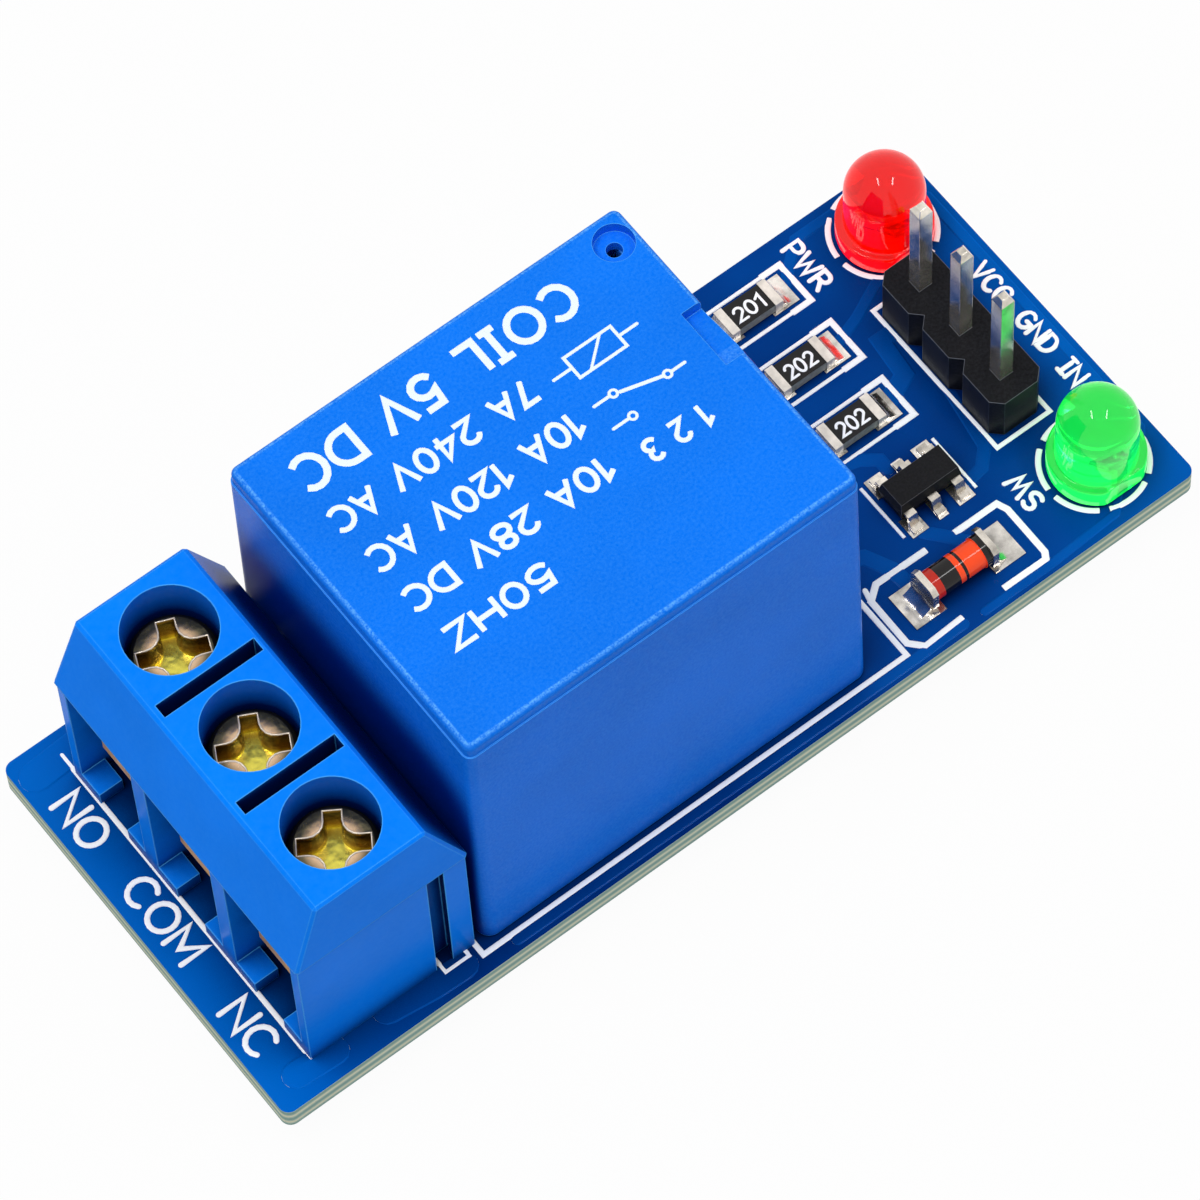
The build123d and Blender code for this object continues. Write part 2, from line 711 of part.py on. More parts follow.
# Open contact: its button waits under the moving one
with BuildPart() as open_contact:
    open_arm_top = open_button_top - fixed_button_height
    strip_y = relay_y + relay_pin_y
    arm_length = relay_pin_y + contact_strip_width / 2 + contact_arm_reach
    arm_end_y = strip_y + contact_strip_width / 2
    with BuildSketch(Plane.XY.offset(base_top)):
        with Locations((contact_pin_x, strip_y)):
            Rectangle(contact_strip, contact_strip_width)
    extrude(amount=open_arm_top - base_top)
    with BuildSketch(Plane.XY.offset(open_arm_top - contact_strip)):
        with Locations((contact_pin_x - contact_strip / 2, arm_end_y)):
            Rectangle(contact_arm_depth, arm_length, align=(Align.MIN, Align.MAX))
    extrude(amount=contact_strip)
    with BuildSketch(Plane.XY.offset(open_arm_top)):
        with Locations((button_x, relay_y)):
            Circle(contact_button_radius)
    extrude(amount=fixed_button_height)
    with BuildSketch(Plane.XY):
        with Locations((contact_pin_x, strip_y)):
            Rectangle(contact_strip, relay_pin_width)
    extrude(amount=base_top)
    chamfer(open_contact.edges().group_by(Axis.Z)[0], tail_chamfer)
open_contact.part.label = "open_contact"
export_step(open_contact.part, "parts/open_contact.step")

# Closed contact: its button rests just above the moving one
with BuildPart() as closed_contact:
    strip_y = relay_y - relay_pin_y
    arm_end_y = strip_y - contact_strip_width / 2
    with BuildSketch(Plane.XY.offset(base_top)):
        with Locations((contact_pin_x, strip_y)):
            Rectangle(contact_strip, contact_strip_width)
    extrude(amount=closed_arm_bottom + contact_strip - base_top)
    with BuildSketch(Plane.XY.offset(closed_arm_bottom)):
        with Locations((contact_pin_x - contact_strip / 2, arm_end_y)):
            Rectangle(contact_arm_depth, arm_length, align=(Align.MIN, Align.MIN))
    extrude(amount=contact_strip)
    with BuildSketch(Plane.XY.offset(closed_button_bottom)):
        with Locations((button_x, relay_y)):
            Circle(contact_button_radius)
    extrude(amount=fixed_button_height)
    with BuildSketch(Plane.XY):
        with Locations((contact_pin_x, strip_y)):
            Rectangle(contact_strip, relay_pin_width)
    extrude(amount=base_top)
    chamfer(closed_contact.edges().group_by(Axis.Z)[0], tail_chamfer)
closed_contact.part.label = "closed_contact"
export_step(closed_contact.part, "parts/closed_contact.step")

# Hinge spring: a bent strip on the yoke's back that reaches over the armature
with BuildPart() as hinge_spring:
    finger_bottom = hinge_z + armature_thickness + hinge_spring_clearance
    finger_top = finger_bottom + hinge_spring_thickness
    with BuildSketch(Plane.XZ.offset(-relay_y)):
        with Locations((yoke_back_x, finger_top)):
            Rectangle(
                hinge_spring_thickness,
                finger_top - yoke_top + hinge_spring_drop,
                align=(Align.MIN, Align.MAX),
            )
        with Locations((yoke_back_x + hinge_spring_thickness, finger_top)):
            Rectangle(
                hinge_spring_thickness + hinge_spring_finger,
                hinge_spring_thickness,
                align=(Align.MAX, Align.MAX),
            )
    extrude(amount=hinge_spring_width / 2, both=True)
hinge_spring.part.label = "hinge_spring"
export_step(hinge_spring.part, "parts/hinge_spring.step")

# Header block: eight-sided segments in a row, with a square hole for each pin
with BuildPart() as header_block:
    with BuildSketch(Plane.XY.offset(board_top)):
        half = header_pitch / 2
        flat = half - header_corner
        with Locations(*header_tails):
            Polygon(
                (half, -flat),
                (half, flat),
                (flat, half),
                (-flat, half),
                (-half, flat),
                (-half, -flat),
                (-flat, -half),
                (flat, -half),
                align=None,
            )
        with Locations(*header_tails):
            Rectangle(header_pin_size, header_pin_size, mode=Mode.SUBTRACT)
    extrude(amount=header_block_height)
header_block.part.label = "header_block"
export_step(header_block.part, "parts/header_block.step")

# Header pins, square and pointed at both ends
for number, pin_place in enumerate(header_tails, start=1):
    with BuildPart() as header_pin:
        with BuildSketch(Plane.XY.offset(board_bottom - header_tail)):
            with Locations(pin_place):
                Rectangle(header_pin_size, header_pin_size)
        extrude(amount=header_tail + board_thickness + header_pin_height)
        for end in (0, -1):
            end_face = header_pin.faces().sort_by(Axis.Z)[end]
            chamfer(end_face.edges(), header_tip_inset, header_tip_chamfer, reference=end_face)
    header_pin.part.label = f"header_pin_{number}"
    export_step(header_pin.part, f"parts/header_pin_{number}.step")

for lamp_name, lamp_y in lamp_places.items():
    lamp_floor = board_top + lamp_standoff
    lead_bottom = board_bottom - lamp_tail
    anode_y = lamp_y + lamp_lead_pitch / 2
    cathode_y = lamp_y - lamp_lead_pitch / 2

    # Anode: the lead whose short flag ends beside the cup
    with BuildPart() as lamp_anode:
        with BuildSketch(Plane.YZ.offset(lamp_x)):
            with Locations((anode_y, lead_bottom)):
                Rectangle(
                    lamp_lead_size,
                    lamp_floor + lamp_post_height - lead_bottom,
                    align=(Align.CENTER, Align.MIN),
                )
            with Locations((anode_y + lamp_lead_size / 2, lamp_floor + lamp_post_height)):
                Rectangle(lamp_post_width, lamp_lead_size, align=(Align.MAX, Align.MAX))
        extrude(amount=lamp_lead_size / 2, both=True)
    lamp_anode.part.label = f"{lamp_name}_anode"
    export_step(lamp_anode.part, f"parts/{lamp_name}_anode.step")

    # Cathode: the lead whose wide anvil carries the cup
    with BuildPart() as lamp_cathode:
        anvil_top = lamp_floor + lamp_anvil_height
        with BuildSketch(Plane.YZ.offset(lamp_x)):
            with Locations((cathode_y, lead_bottom)):
                Rectangle(lamp_lead_size, anvil_top - lead_bottom, align=(Align.CENTER, Align.MIN))
            with Locations((cathode_y - lamp_lead_size / 2, anvil_top)):
                Rectangle(lamp_anvil_width, lamp_lead_size, align=(Align.MIN, Align.MAX))
        extrude(amount=lamp_lead_size / 2, both=True)
        cup_y = cathode_y - lamp_lead_size / 2 + lamp_anvil_width - lamp_cup_size / 2
        with BuildSketch(Plane.XY.offset(anvil_top)):
            with Locations((lamp_x, cup_y)):
                Rectangle(lamp_cup_size, lamp_cup_size)
                Rectangle(
                    lamp_cup_size - 2 * lamp_cup_wall, lamp_cup_size - 2 * lamp_cup_wall, mode=Mode.SUBTRACT
                )
        extrude(amount=lamp_cup_depth)
    lamp_cathode.part.label = f"{lamp_name}_cathode"
    export_step(lamp_cathode.part, f"parts/{lamp_name}_cathode.step")

    # Lens: a domed cylinder on a flange with one flat, cast round the leads
    with BuildPart() as lamp_lens:
        dome_base = lamp_floor + lamp_height - lamp_radius
        with BuildSketch(Plane.XZ.offset(-lamp_y)):
            with BuildLine():
                Polyline(
                    (lamp_x, lamp_floor),
                    (lamp_x + lamp_flange_radius, lamp_floor),
                    (lamp_x + lamp_flange_radius, lamp_floor + lamp_flange_height),
                    (lamp_x + lamp_radius, lamp_floor + lamp_flange_height),
                    (lamp_x + lamp_radius, dome_base),
                )
                CenterArc((lamp_x, dome_base), lamp_radius, 0, 90)
                Line((lamp_x, dome_base + lamp_radius), (lamp_x, lamp_floor))
            make_face()
        revolve(axis=Axis((lamp_x, lamp_y, 0), (0, 0, 1)))
        with BuildSketch(Plane.XY.offset(lamp_floor)):
            with Locations((lamp_x, lamp_y - lamp_flat_distance)):
                Rectangle(2 * lamp_flange_radius, lamp_flange_radius, align=(Align.CENTER, Align.MAX))
        extrude(amount=lamp_flange_height, mode=Mode.SUBTRACT)
        add(lamp_anode.part, mode=Mode.SUBTRACT)
        add(lamp_cathode.part, mode=Mode.SUBTRACT)
    lamp_lens.part.label = f"{lamp_name}_lens"
    export_step(lamp_lens.part, f"parts/{lamp_name}_lens.step")

for number, resistor_y in enumerate(resistor_places, start=1):
    core_length = resistor_length - 2 * resistor_cap_wall
    core_width = resistor_width - 2 * resistor_cap_wall
    core_height = resistor_height - 2 * resistor_cap_wall

    # Chip: the ceramic block with its dark glaze
    with BuildPart() as resistor_chip:
        with BuildSketch(Plane.XY.offset(part_floor + resistor_cap_wall)):
            with Locations((resistor_x, resistor_y)):
                Rectangle(core_length, core_width)
        extrude(amount=core_height)
    resistor_chip.part.label = f"resistor_chip_{number}"
    export_step(resistor_chip.part, f"parts/resistor_chip_{number}.step")

    # End caps that wrap the chip
    with BuildPart() as resistor_caps:
        cap_offset = (resistor_length - resistor_cap_length) / 2
        with BuildSketch(Plane.XY.offset(part_floor)):
            with Locations((resistor_x - cap_offset, resistor_y), (resistor_x + cap_offset, resistor_y)):
                Rectangle(resistor_cap_length, resistor_width)
        extrude(amount=resistor_height)
        add(resistor_chip.part, mode=Mode.SUBTRACT)
    resistor_caps.part.label = f"resistor_caps_{number}"
    export_step(resistor_caps.part, f"parts/resistor_caps_{number}.step")

# Transistor body: two tapered halves that meet at the mould line
transistor_bottom = part_floor + transistor_standoff
transistor_middle = transistor_bottom + transistor_height / 2
transistor_top = transistor_bottom + transistor_height
with BuildPart() as transistor_body:
    for outer_level in (transistor_bottom, transistor_top):
        with BuildSketch(Plane.XY.offset(transistor_middle)):
            with Locations((transistor_x, transistor_y)):
                Rectangle(transistor_length, transistor_width)
        with BuildSketch(Plane.XY.offset(outer_level)):
            with Locations((transistor_x, transistor_y)):
                Rectangle(
                    transistor_length - 2 * transistor_draft, transistor_width - 3 * transistor_draft
                )
        loft()
transistor_body.part.label = "transistor_body"
export_step(transistor_body.part, "parts/transistor_body.step")

# Transistor leads: three bent feet each side
with BuildPart() as transistor_leads:
    body_edge_y = transistor_y - transistor_width / 2
    toe_y = transistor_y - transistor_span / 2
    bend_y = toe_y + transistor_foot
    lead_under = transistor_middle - transistor_lead_thickness / 2
    lead_over = lead_under + transistor_lead_thickness
    foot_over = part_floor + transistor_lead_thickness
    lead_centres = [transistor_x + step * transistor_lead_pitch for step in (-1, 0, 1)]
    for lead_x in lead_centres:
        with BuildSketch(Plane.YZ.offset(lead_x)):
            Polygon(
                (body_edge_y, lead_under),
                (body_edge_y, lead_over),
                (bend_y, lead_over),
                (bend_y - transistor_lead_thickness, foot_over),
                (toe_y, foot_over),
                (toe_y, part_floor),
                (bend_y, part_floor),
                (bend_y + transistor_lead_thickness / 2, lead_under),
                align=None,
            )
        extrude(amount=transistor_lead_width / 2, both=True)
    mirror(about=Plane.XZ.offset(-transistor_y))
transistor_leads.part.label = "transistor_leads"
export_step(transistor_leads.part, "parts/transistor_leads.step")

# Diode: a glass tube with a collar, between two square end caps
diode_axis_z = part_floor + diode_cap_size / 2
glass_start = diode_x - diode_length / 2 + diode_cap_thickness
glass_end = diode_x + diode_length / 2 - diode_cap_thickness
with BuildPart() as diode_glass:
    with BuildSketch(Plane.YZ.offset(glass_start)):
        with Locations((diode_y, diode_axis_z)):
            Circle(diode_glass_radius)
    extrude(amount=glass_end - glass_start)
    with BuildSketch(Plane.YZ.offset(glass_end)):
        with Locations((diode_y, diode_axis_z)):
            Circle(diode_collar_radius)
    extrude(amount=-diode_collar_length)
diode_glass.part.label = "diode_glass"
export_step(diode_glass.part, "parts/diode_glass.step")

with BuildPart() as diode_caps:
    for cap_start in (glass_start - diode_cap_thickness, glass_end):
        with BuildSketch(Plane.YZ.offset(cap_start)) as cap_outline:
            with Locations((diode_y, diode_axis_z)):
                Rectangle(diode_cap_size, diode_cap_size)
            chamfer(cap_outline.vertices(), diode_cap_chamfer)
        extrude(amount=diode_cap_thickness)
diode_caps.part.label = "diode_caps"
export_step(diode_caps.part, "parts/diode_caps.step")

# Tinned pads under the surface-mounted parts, with the solder that climbs their ends
pad_offset = (resistor_pad_span - resistor_pad_length) / 2
row_offset = (transistor_pad_span - transistor_pad_length) / 2
diode_offset = (diode_pad_span - diode_pad_length) / 2
resistor_ends = [(resistor_x, resistor_y, side) for resistor_y in resistor_places for side in (1, -1)]
with BuildPart() as solder_pads:
    with BuildSketch(Plane.XY.offset(board_top)):
        with Locations(*[(end_x + side * pad_offset, end_y) for end_x, end_y, side in resistor_ends]):
            Rectangle(resistor_pad_length, resistor_pad_width)
        for lead_x in lead_centres:
            middle = lead_x == transistor_x
            pad_width = transistor_middle_pad_width if middle else transistor_pad_width
            with Locations((lead_x, transistor_y + row_offset), (lead_x, transistor_y - row_offset)):
                Rectangle(pad_width, transistor_pad_length)
        with Locations((diode_pad_x - diode_offset, diode_y), (diode_pad_x + diode_offset, diode_y)):
            Rectangle(diode_pad_length, diode_pad_width)
    extrude(amount=pad_thickness)
    fillet_rows = [
        (end_x, end_y, side, resistor_length / 2, resistor_fillet_reach, resistor_fillet_height, resistor_width)
        for end_x, end_y, side in resistor_ends
    ] + [
        (diode_x, diode_y, side, diode_length / 2, diode_fillet_reach, diode_fillet_height, diode_fillet_width)
        for side in (1, -1)
    ]
    for end_x, end_y, side, half_length, reach, height, width in fillet_rows:
        start_x = end_x + side * half_length
        with BuildSketch(Plane.XZ.offset(-end_y)):
            with BuildLine():
                ThreePointArc(
                    (start_x + side * reach, part_floor),
                    (start_x + side * reach * fillet_hollow, part_floor + height * fillet_hollow),
                    (start_x, part_floor + height),
                )
                Line((start_x, part_floor + height), (start_x, part_floor))
                Line((start_x, part_floor), (start_x + side * reach, part_floor))
            make_face()
        extrude(amount=width / 2, both=True)
solder_pads.part.label = "solder_pads"
export_step(solder_pads.part, "parts/solder_pads.step")

# Solder cones round the tails, under the board
with BuildPart() as solder_cones:
    for size_x, size_y, places in tail_rows:
        neck_radius = math.hypot(size_x, size_y) / 2 + solder_neck
        foot_radius = neck_radius + hole_clearance + solder_spread
        with BuildSketch(Plane.XY.offset(board_bottom)):
            with Locations(*places):
                RegularPolygon(foot_radius, solder_sides)
        solder_slope = math.degrees(math.atan((foot_radius - neck_radius) / solder_height))
        extrude(amount=-solder_height, taper=solder_slope)
    with BuildSketch(Plane.XY):
        for size_x, size_y, places in tail_rows:
            with Locations(*places):
                Rectangle(size_x, size_y)
    extrude(amount=board_bottom, mode=Mode.SUBTRACT)
solder_cones.part.label = "solder_cones"
export_step(solder_cones.part, "parts/solder_cones.step")
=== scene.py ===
"""Looks of the relay module board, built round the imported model.

Sizes are in millimetres in the model's frame, and a piece is scaled to metres
when it is made. +X runs from the terminal block to the header, +Z is up.
"""

import math

import bmesh
import bpy
from mathutils import Matrix, Vector


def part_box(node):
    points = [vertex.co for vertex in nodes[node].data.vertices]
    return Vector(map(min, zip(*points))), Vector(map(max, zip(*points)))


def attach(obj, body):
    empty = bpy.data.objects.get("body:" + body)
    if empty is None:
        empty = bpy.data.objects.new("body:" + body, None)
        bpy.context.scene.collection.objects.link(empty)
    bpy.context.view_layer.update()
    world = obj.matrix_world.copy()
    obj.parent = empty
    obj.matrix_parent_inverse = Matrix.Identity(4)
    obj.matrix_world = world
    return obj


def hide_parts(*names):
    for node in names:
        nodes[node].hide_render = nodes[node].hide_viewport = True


mm = 0.001
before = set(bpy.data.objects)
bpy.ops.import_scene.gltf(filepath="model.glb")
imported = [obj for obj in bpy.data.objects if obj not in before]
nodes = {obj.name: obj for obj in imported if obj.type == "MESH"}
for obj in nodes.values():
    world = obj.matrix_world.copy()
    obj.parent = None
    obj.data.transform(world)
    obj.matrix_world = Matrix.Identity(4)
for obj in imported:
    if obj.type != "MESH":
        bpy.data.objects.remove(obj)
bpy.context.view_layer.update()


def node_box(name):
    """Lowest and highest corner of a node, in millimetres."""
    low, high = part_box(name)
    return low / mm, high / mm


def node_middle(name):
    low, high = node_box(name)
    return (low + high) / 2


# Places taken from the model
board_low, board_high = node_box("circuit_board")
board_top = board_high.z
board_bottom = board_low.z
relay_top = node_box("relay_cover")[1].z
pole_pitch = abs(node_middle("terminal_screw_2").y - node_middle("terminal_screw_1").y)

# Nodes that are named in sets
numbers = (1, 2, 3)
lamps = {"power_lamp": "red", "switch_lamp": "green"}
lamp_leads = [f"{lamp}_{lead}" for lamp in lamps for lead in ("anode", "cathode")]


def numbered(name):
    """The names of the three nodes that differ by their number alone."""
    return [f"{name}_{number}" for number in numbers]


# Materials


def paint(red, green, blue):
    """A colour written as 0 to 255 values, as a linear colour."""
    def linear(value):
        value /= 255
        return value / 12.92 if value <= 0.04045 else ((value + 0.055) / 1.055) ** 2.4
    return (linear(red), linear(green), linear(blue), 1.0)


def darkened(color, share):
    """A colour with that share of its light."""
    return tuple(value * share for value in color[:3]) + (1.0,)


class Finish:
    """A Principled material, with short calls for the nodes that feed it."""

    shading_samples = 8

    def __init__(self, name, color, roughness, metallic=0.0, **sockets):
        self.material = bpy.data.materials.new(name)
        self.material.use_nodes = True
        self.tree = self.material.node_tree
        self.shader = self.tree.nodes["Principled BSDF"]
        self.set("Base Color", color)
        self.set("Roughness", roughness)
        self.set("Metallic", metallic)
        for socket, value in sockets.items():
            self.set(socket.replace("_", " "), value)
        self.normal = None

    def set(self, socket, value):
        self.shader.inputs[socket].default_value = value

    def node(self, kind, **inputs):
        made = self.tree.nodes.new(kind)
        for socket, value in inputs.items():
            made.inputs[socket.replace("_", " ")].default_value = value
        return made

    def link(self, output, target):
        self.tree.links.new(output, target)

    def place(self):
        """The point on the surface, in metres in the model's frame."""
        return self.node("ShaderNodeTexCoord").outputs["Object"]

    def scaled_place(self, scale):
        """The point on the surface, multiplied by the scale along each axis."""
        mapping = self.node("ShaderNodeMapping", Scale=scale)
        self.link(self.place(), mapping.inputs["Vector"])
        return mapping.outputs["Vector"]

    def noise(self, size, detail=3.0, roughness=0.6):
        """Cloudy values from 0 to 1, in patches of about that size in millimetres."""
        texture = self.node("ShaderNodeTexNoise", Scale=1.0, Detail=detail, Roughness=roughness)
        self.link(self.scaled_place(Vector((1, 1, 1)) / (size * mm)), texture.inputs["Vector"])
        return texture.outputs["Fac"]

    def stripes(self, scale, **inputs):
        """Level stripes from 0 to 1, closer together where the scale along Z is larger."""
        texture = self.node("ShaderNodeTexWave", Scale=1.0, **inputs)
        texture.bands_direction = "Z"
        self.link(self.scaled_place(scale), texture.inputs["Vector"])
        return texture.outputs["Fac"]

    def ramp(self, factor, stops, steps=False):
        made = self.node("ShaderNodeValToRGB")
        made.color_ramp.interpolation = "CONSTANT" if steps else "LINEAR"
        elements = made.color_ramp.elements
        while len(elements) < len(stops):
            elements.new(0.5)
        for element, (position, color) in zip(elements, stops):
            element.position = position
            element.color = color
        self.link(factor, made.inputs["Fac"])
        return made.outputs["Color"]

    def span(self, value, low, high):
        """0 where value is low and 1 where it is high, and no further."""
        made = self.node("ShaderNodeMapRange", From_Min=low, From_Max=high)
        made.clamp = True
        self.link(value, made.inputs["Value"])
        return made.outputs["Result"]

    def axis(self, name):
        """The surface's own place along X, Y or Z, in millimetres."""
        parts = self.node("ShaderNodeSeparateXYZ")
        self.link(self.place(), parts.inputs["Vector"])
        return self.math("MULTIPLY", parts.outputs[name], 1 / mm)

    def facing_up(self):
        """1 on what looks up, 0 on what is upright and -1 on what looks down."""
        parts = self.node("ShaderNodeSeparateXYZ")
        self.link(self.node("ShaderNodeNewGeometry").outputs["Normal"], parts.inputs["Vector"])
        return parts.outputs["Z"]

    def math(self, operation, *values):
        made = self.node("ShaderNodeMath")
        made.operation = operation
        for socket, value in zip(made.inputs, values):
            if isinstance(value, (int, float)):
                socket.default_value = value
            else:
                self.link(value, socket)
        return made.outputs["Value"]

    def mix(self, factor, first, second):
        made = self.node("ShaderNodeMix")
        made.data_type = "RGBA"
        factor_socket, first_socket, second_socket = made.inputs[0], made.inputs[6], made.inputs[7]
        for socket, value in ((factor_socket, factor), (first_socket, first), (second_socket, second)):
            if isinstance(value, (int, float, tuple)):
                socket.default_value = value
            else:
                self.link(value, socket)
        return made.outputs[2]

    def color(self, output):
        self.link(output, self.shader.inputs["Base Color"])

    def roughness(self, output):
        self.link(output, self.shader.inputs["Roughness"])

    def soft_edges(self, radius, base=None, pale=None):
        """Rounds sharp edges of that radius as they shade, and paints a pale highlight on them when pale is
        given.
        """
        bevel = self.node("ShaderNodeBevel", Radius=radius * mm)
        bevel.samples = self.shading_samples
        self.add_normal(bevel.outputs["Normal"])
        if pale:
            turn = self.node("ShaderNodeVectorMath")
            turn.operation = "DOT_PRODUCT"
            self.link(bevel.outputs["Normal"], turn.inputs[0])
            self.link(self.node("ShaderNodeNewGeometry").outputs["True Normal"], turn.inputs[1])
            # The pale colour on the edges is a painted highlight
            edge = self.span(turn.outputs["Value"], 0.995, 0.85)
            self.color(self.mix(edge, base, pale))

    def shade_hollows(self, color, dark, reach, below=None):
        """Paints shade into a colour where the surface is shut in. Reach is in millimetres,
        and nothing within 1 mm of the height below, or above it, turns dark."""
        # Ambient occlusion picks out the hollows where the painted shade goes
        hollow = self.node("ShaderNodeAmbientOcclusion", Distance=reach * mm)
        hollow.samples = self.shading_samples
        shut_in = self.span(hollow.outputs["AO"], 0.86, 0.34)
        if below is not None:
            shut_in = self.math("MULTIPLY", shut_in, self.span(self.axis("Z"), below - 1, below - 2.5))
        return self.mix(shut_in, color, dark)

    def bump(self, height, depth):
        made = self.node("ShaderNodeBump", Strength=1.0, Distance=depth * mm)
        self.link(height, made.inputs["Height"])
        if self.normal:
            self.link(self.normal, made.inputs["Normal"])
        self.add_normal(made.outputs["Normal"])

    def add_normal(self, output):
        self.normal = output
        self.link(output, self.shader.inputs["Normal"])


def dress(finish, *names):
    """Gives nodes their material. Their own material slots are kept."""
    for name in names:
        for slot in nodes[name].material_slots:
            slot.material = finish.material


def mask_finish(name, deep, light):
    """Glossy lacquer with a painted reflection that lightens it toward both ends of the board,
    painted shade next to the parts, and the glass fibre showing where the board was cut."""
    finish = Finish(name, deep, 0.12, Specular_IOR_Level=0.022)
    clouded = finish.ramp(finish.noise(7.0, detail=2.0), [(0.32, deep), (0.68, light)])
    # Painted reflection: the lacquer turns lighter toward both ends of the board
    toward_terminals = finish.span(finish.axis("X"), -13, -24)
    toward_header = finish.math("MULTIPLY", finish.span(finish.axis("X"), 15, 22), 0.42)
    painted_sheen_at_ends = finish.math("ADD", toward_terminals, toward_header)
    lacquer = finish.mix(painted_sheen_at_ends, clouded, paint(0, 102, 200))
    layers = finish.ramp(finish.stripes((60, 60, 620), Distortion=1.2, Detail=2.0), [
        (0.1, paint(136, 166, 158)),
        (0.75, paint(184, 202, 186)),
        (1.0, paint(222, 218, 190)),
    ])
    cut_edge = finish.math("LESS_THAN", finish.math("ABSOLUTE", finish.facing_up()), 0.5)
    # The face that lies near the floor keeps its colour, without the painted shade
    on_top = finish.math("GREATER_THAN", finish.facing_up(), 0.0)
    # Painted shade next to the parts on the top face
    shaded = finish.shade_hollows(lacquer, paint(0, 26, 76), 5.0)
    finish.color(finish.mix(cut_edge, finish.mix(on_top, lacquer, shaded), layers))
    finish.roughness(finish.math("ADD", finish.math("MULTIPLY", cut_edge, 0.45), 0.14))
    finish.bump(finish.noise(0.5, detail=4.0), 0.004)
    return finish


def plastic_finish(
    name, color, pale, roughness, grain, depth, edge=0.1, specular=0.1, speck=0.12,
    hollow=None, reach=3.0, below=None,
):
    """Moulded plastic: even colour, fine grain, a painted highlight along its edges, and painted shade in
    its hollows when hollow is given.
    """
    finish = Finish(name, color, roughness, Specular_IOR_Level=specular)
    cloud = finish.noise(6.0, detail=2.0)
    clouded = finish.mix(finish.span(cloud, 0.35, 0.65), darkened(color, 0.9), color)
    grains = finish.noise(grain, detail=3.0, roughness=0.7)
    specks = finish.span(grains, 0.3, 0.7)
    brighter = finish.mix(0.5, clouded, pale)
    surface = finish.mix(finish.math("MULTIPLY", specks, speck), clouded, brighter)
    # hollow is the colour of painted shade in the hollows
    if hollow:
        surface = finish.shade_hollows(surface, hollow, reach, below)
    # pale also colours the painted highlight along the edges
    finish.soft_edges(edge, surface, pale)
    finish.bump(grains, depth)
    return finish


def relay_cover_finish():
    """Rough moulding with glossier sides, painted shade low on its sides, and a painted highlight that
    glints along its top edge.
    """
    finish = plastic_finish(
        "relay_plastic", paint(0, 109, 232), paint(80, 170, 255), 0.4, grain=0.13, depth=0.016, edge=0.06,
        specular=0.014, speck=0.36, hollow=paint(0, 40, 142), reach=3.6, below=relay_top,
    )
    # The colour so far already holds painted shade and the painted edge highlight
    color_with_painted_shading = finish.shader.inputs["Base Color"].links[0].from_socket
    # Painted highlight: a speckled pale line along the rounded top edge
    upward = finish.facing_up()
    rounding = finish.math("MULTIPLY", finish.span(upward, 0.995, 0.96), finish.span(upward, 0.6, 0.9))
    near_top = finish.math("GREATER_THAN", finish.axis("Z"), relay_top - 0.22)
    sparkle = finish.span(finish.noise(0.09, detail=2.0), 0.34, 0.8)
    painted_glint = finish.math("MULTIPLY", finish.math("MULTIPLY", rounding, near_top), sparkle)
    finish.color(finish.mix(painted_glint, color_with_painted_shading, paint(110, 186, 255)))
    on_side = finish.span(upward, 0.9, 0.5)
    finish.roughness(finish.math("SUBTRACT", 0.42, finish.math("MULTIPLY", on_side, 0.24)))
    return finish


def metal_finish(
    name, color, roughness, ripple=1.2, depth=0.02, spread=0.12, dull=0.8, metallic=1.0, edge=None
):
    """Plated metal with uneven gloss and duller patches. It has faint ripples, or
    rounded edges of that radius in their place."""
    finish = Finish(name, color, roughness, metallic=metallic)
    cloud = finish.noise(ripple, detail=4.0)
    least = max(roughness - spread / 2, 0.03)
    finish.roughness(finish.math("ADD", finish.math("MULTIPLY", cloud, spread), least))
    finish.color(finish.mix(finish.span(cloud, 0.35, 0.65), darkened(color, dull), color))
    if edge:
        finish.soft_edges(edge)
    else:
        finish.bump(finish.noise(ripple, detail=2.0), depth)
    return finish


def copper_wire_finish():
    """Enamelled wire, wound in close level turns."""
    finish = Finish("copper_wire", paint(190, 108, 62), 0.3, metallic=1.0)
    finish.bump(finish.stripes((0, 0, 2600)), 0.08)
    return finish


def ink_finish(name, color, roughness, grain, grain_roughness, depth):
    """Printed ink, rough at the scale of the surface below it."""
    finish = Finish(name, color, roughness, Specular_IOR_Level=0.2)
    finish.bump(finish.noise(grain, detail=3.0, roughness=grain_roughness), depth)
    return finish


def resistor_finish():
    """Black glaze on top of a grey ceramic chip."""
    glaze_black = paint(30, 29, 29)
    finish = Finish("resistor_chip", glaze_black, 0.4, Specular_IOR_Level=0.2)
    glazed = finish.math("GREATER_THAN", finish.facing_up(), 0.5)
    ceramic = finish.ramp(finish.noise(0.2), [(0.3, paint(122, 124, 118)), (0.7, paint(160, 162, 154))])
    finish.color(finish.mix(glazed, ceramic, glaze_black))
    finish.bump(finish.noise(0.15), 0.006)
    return finish


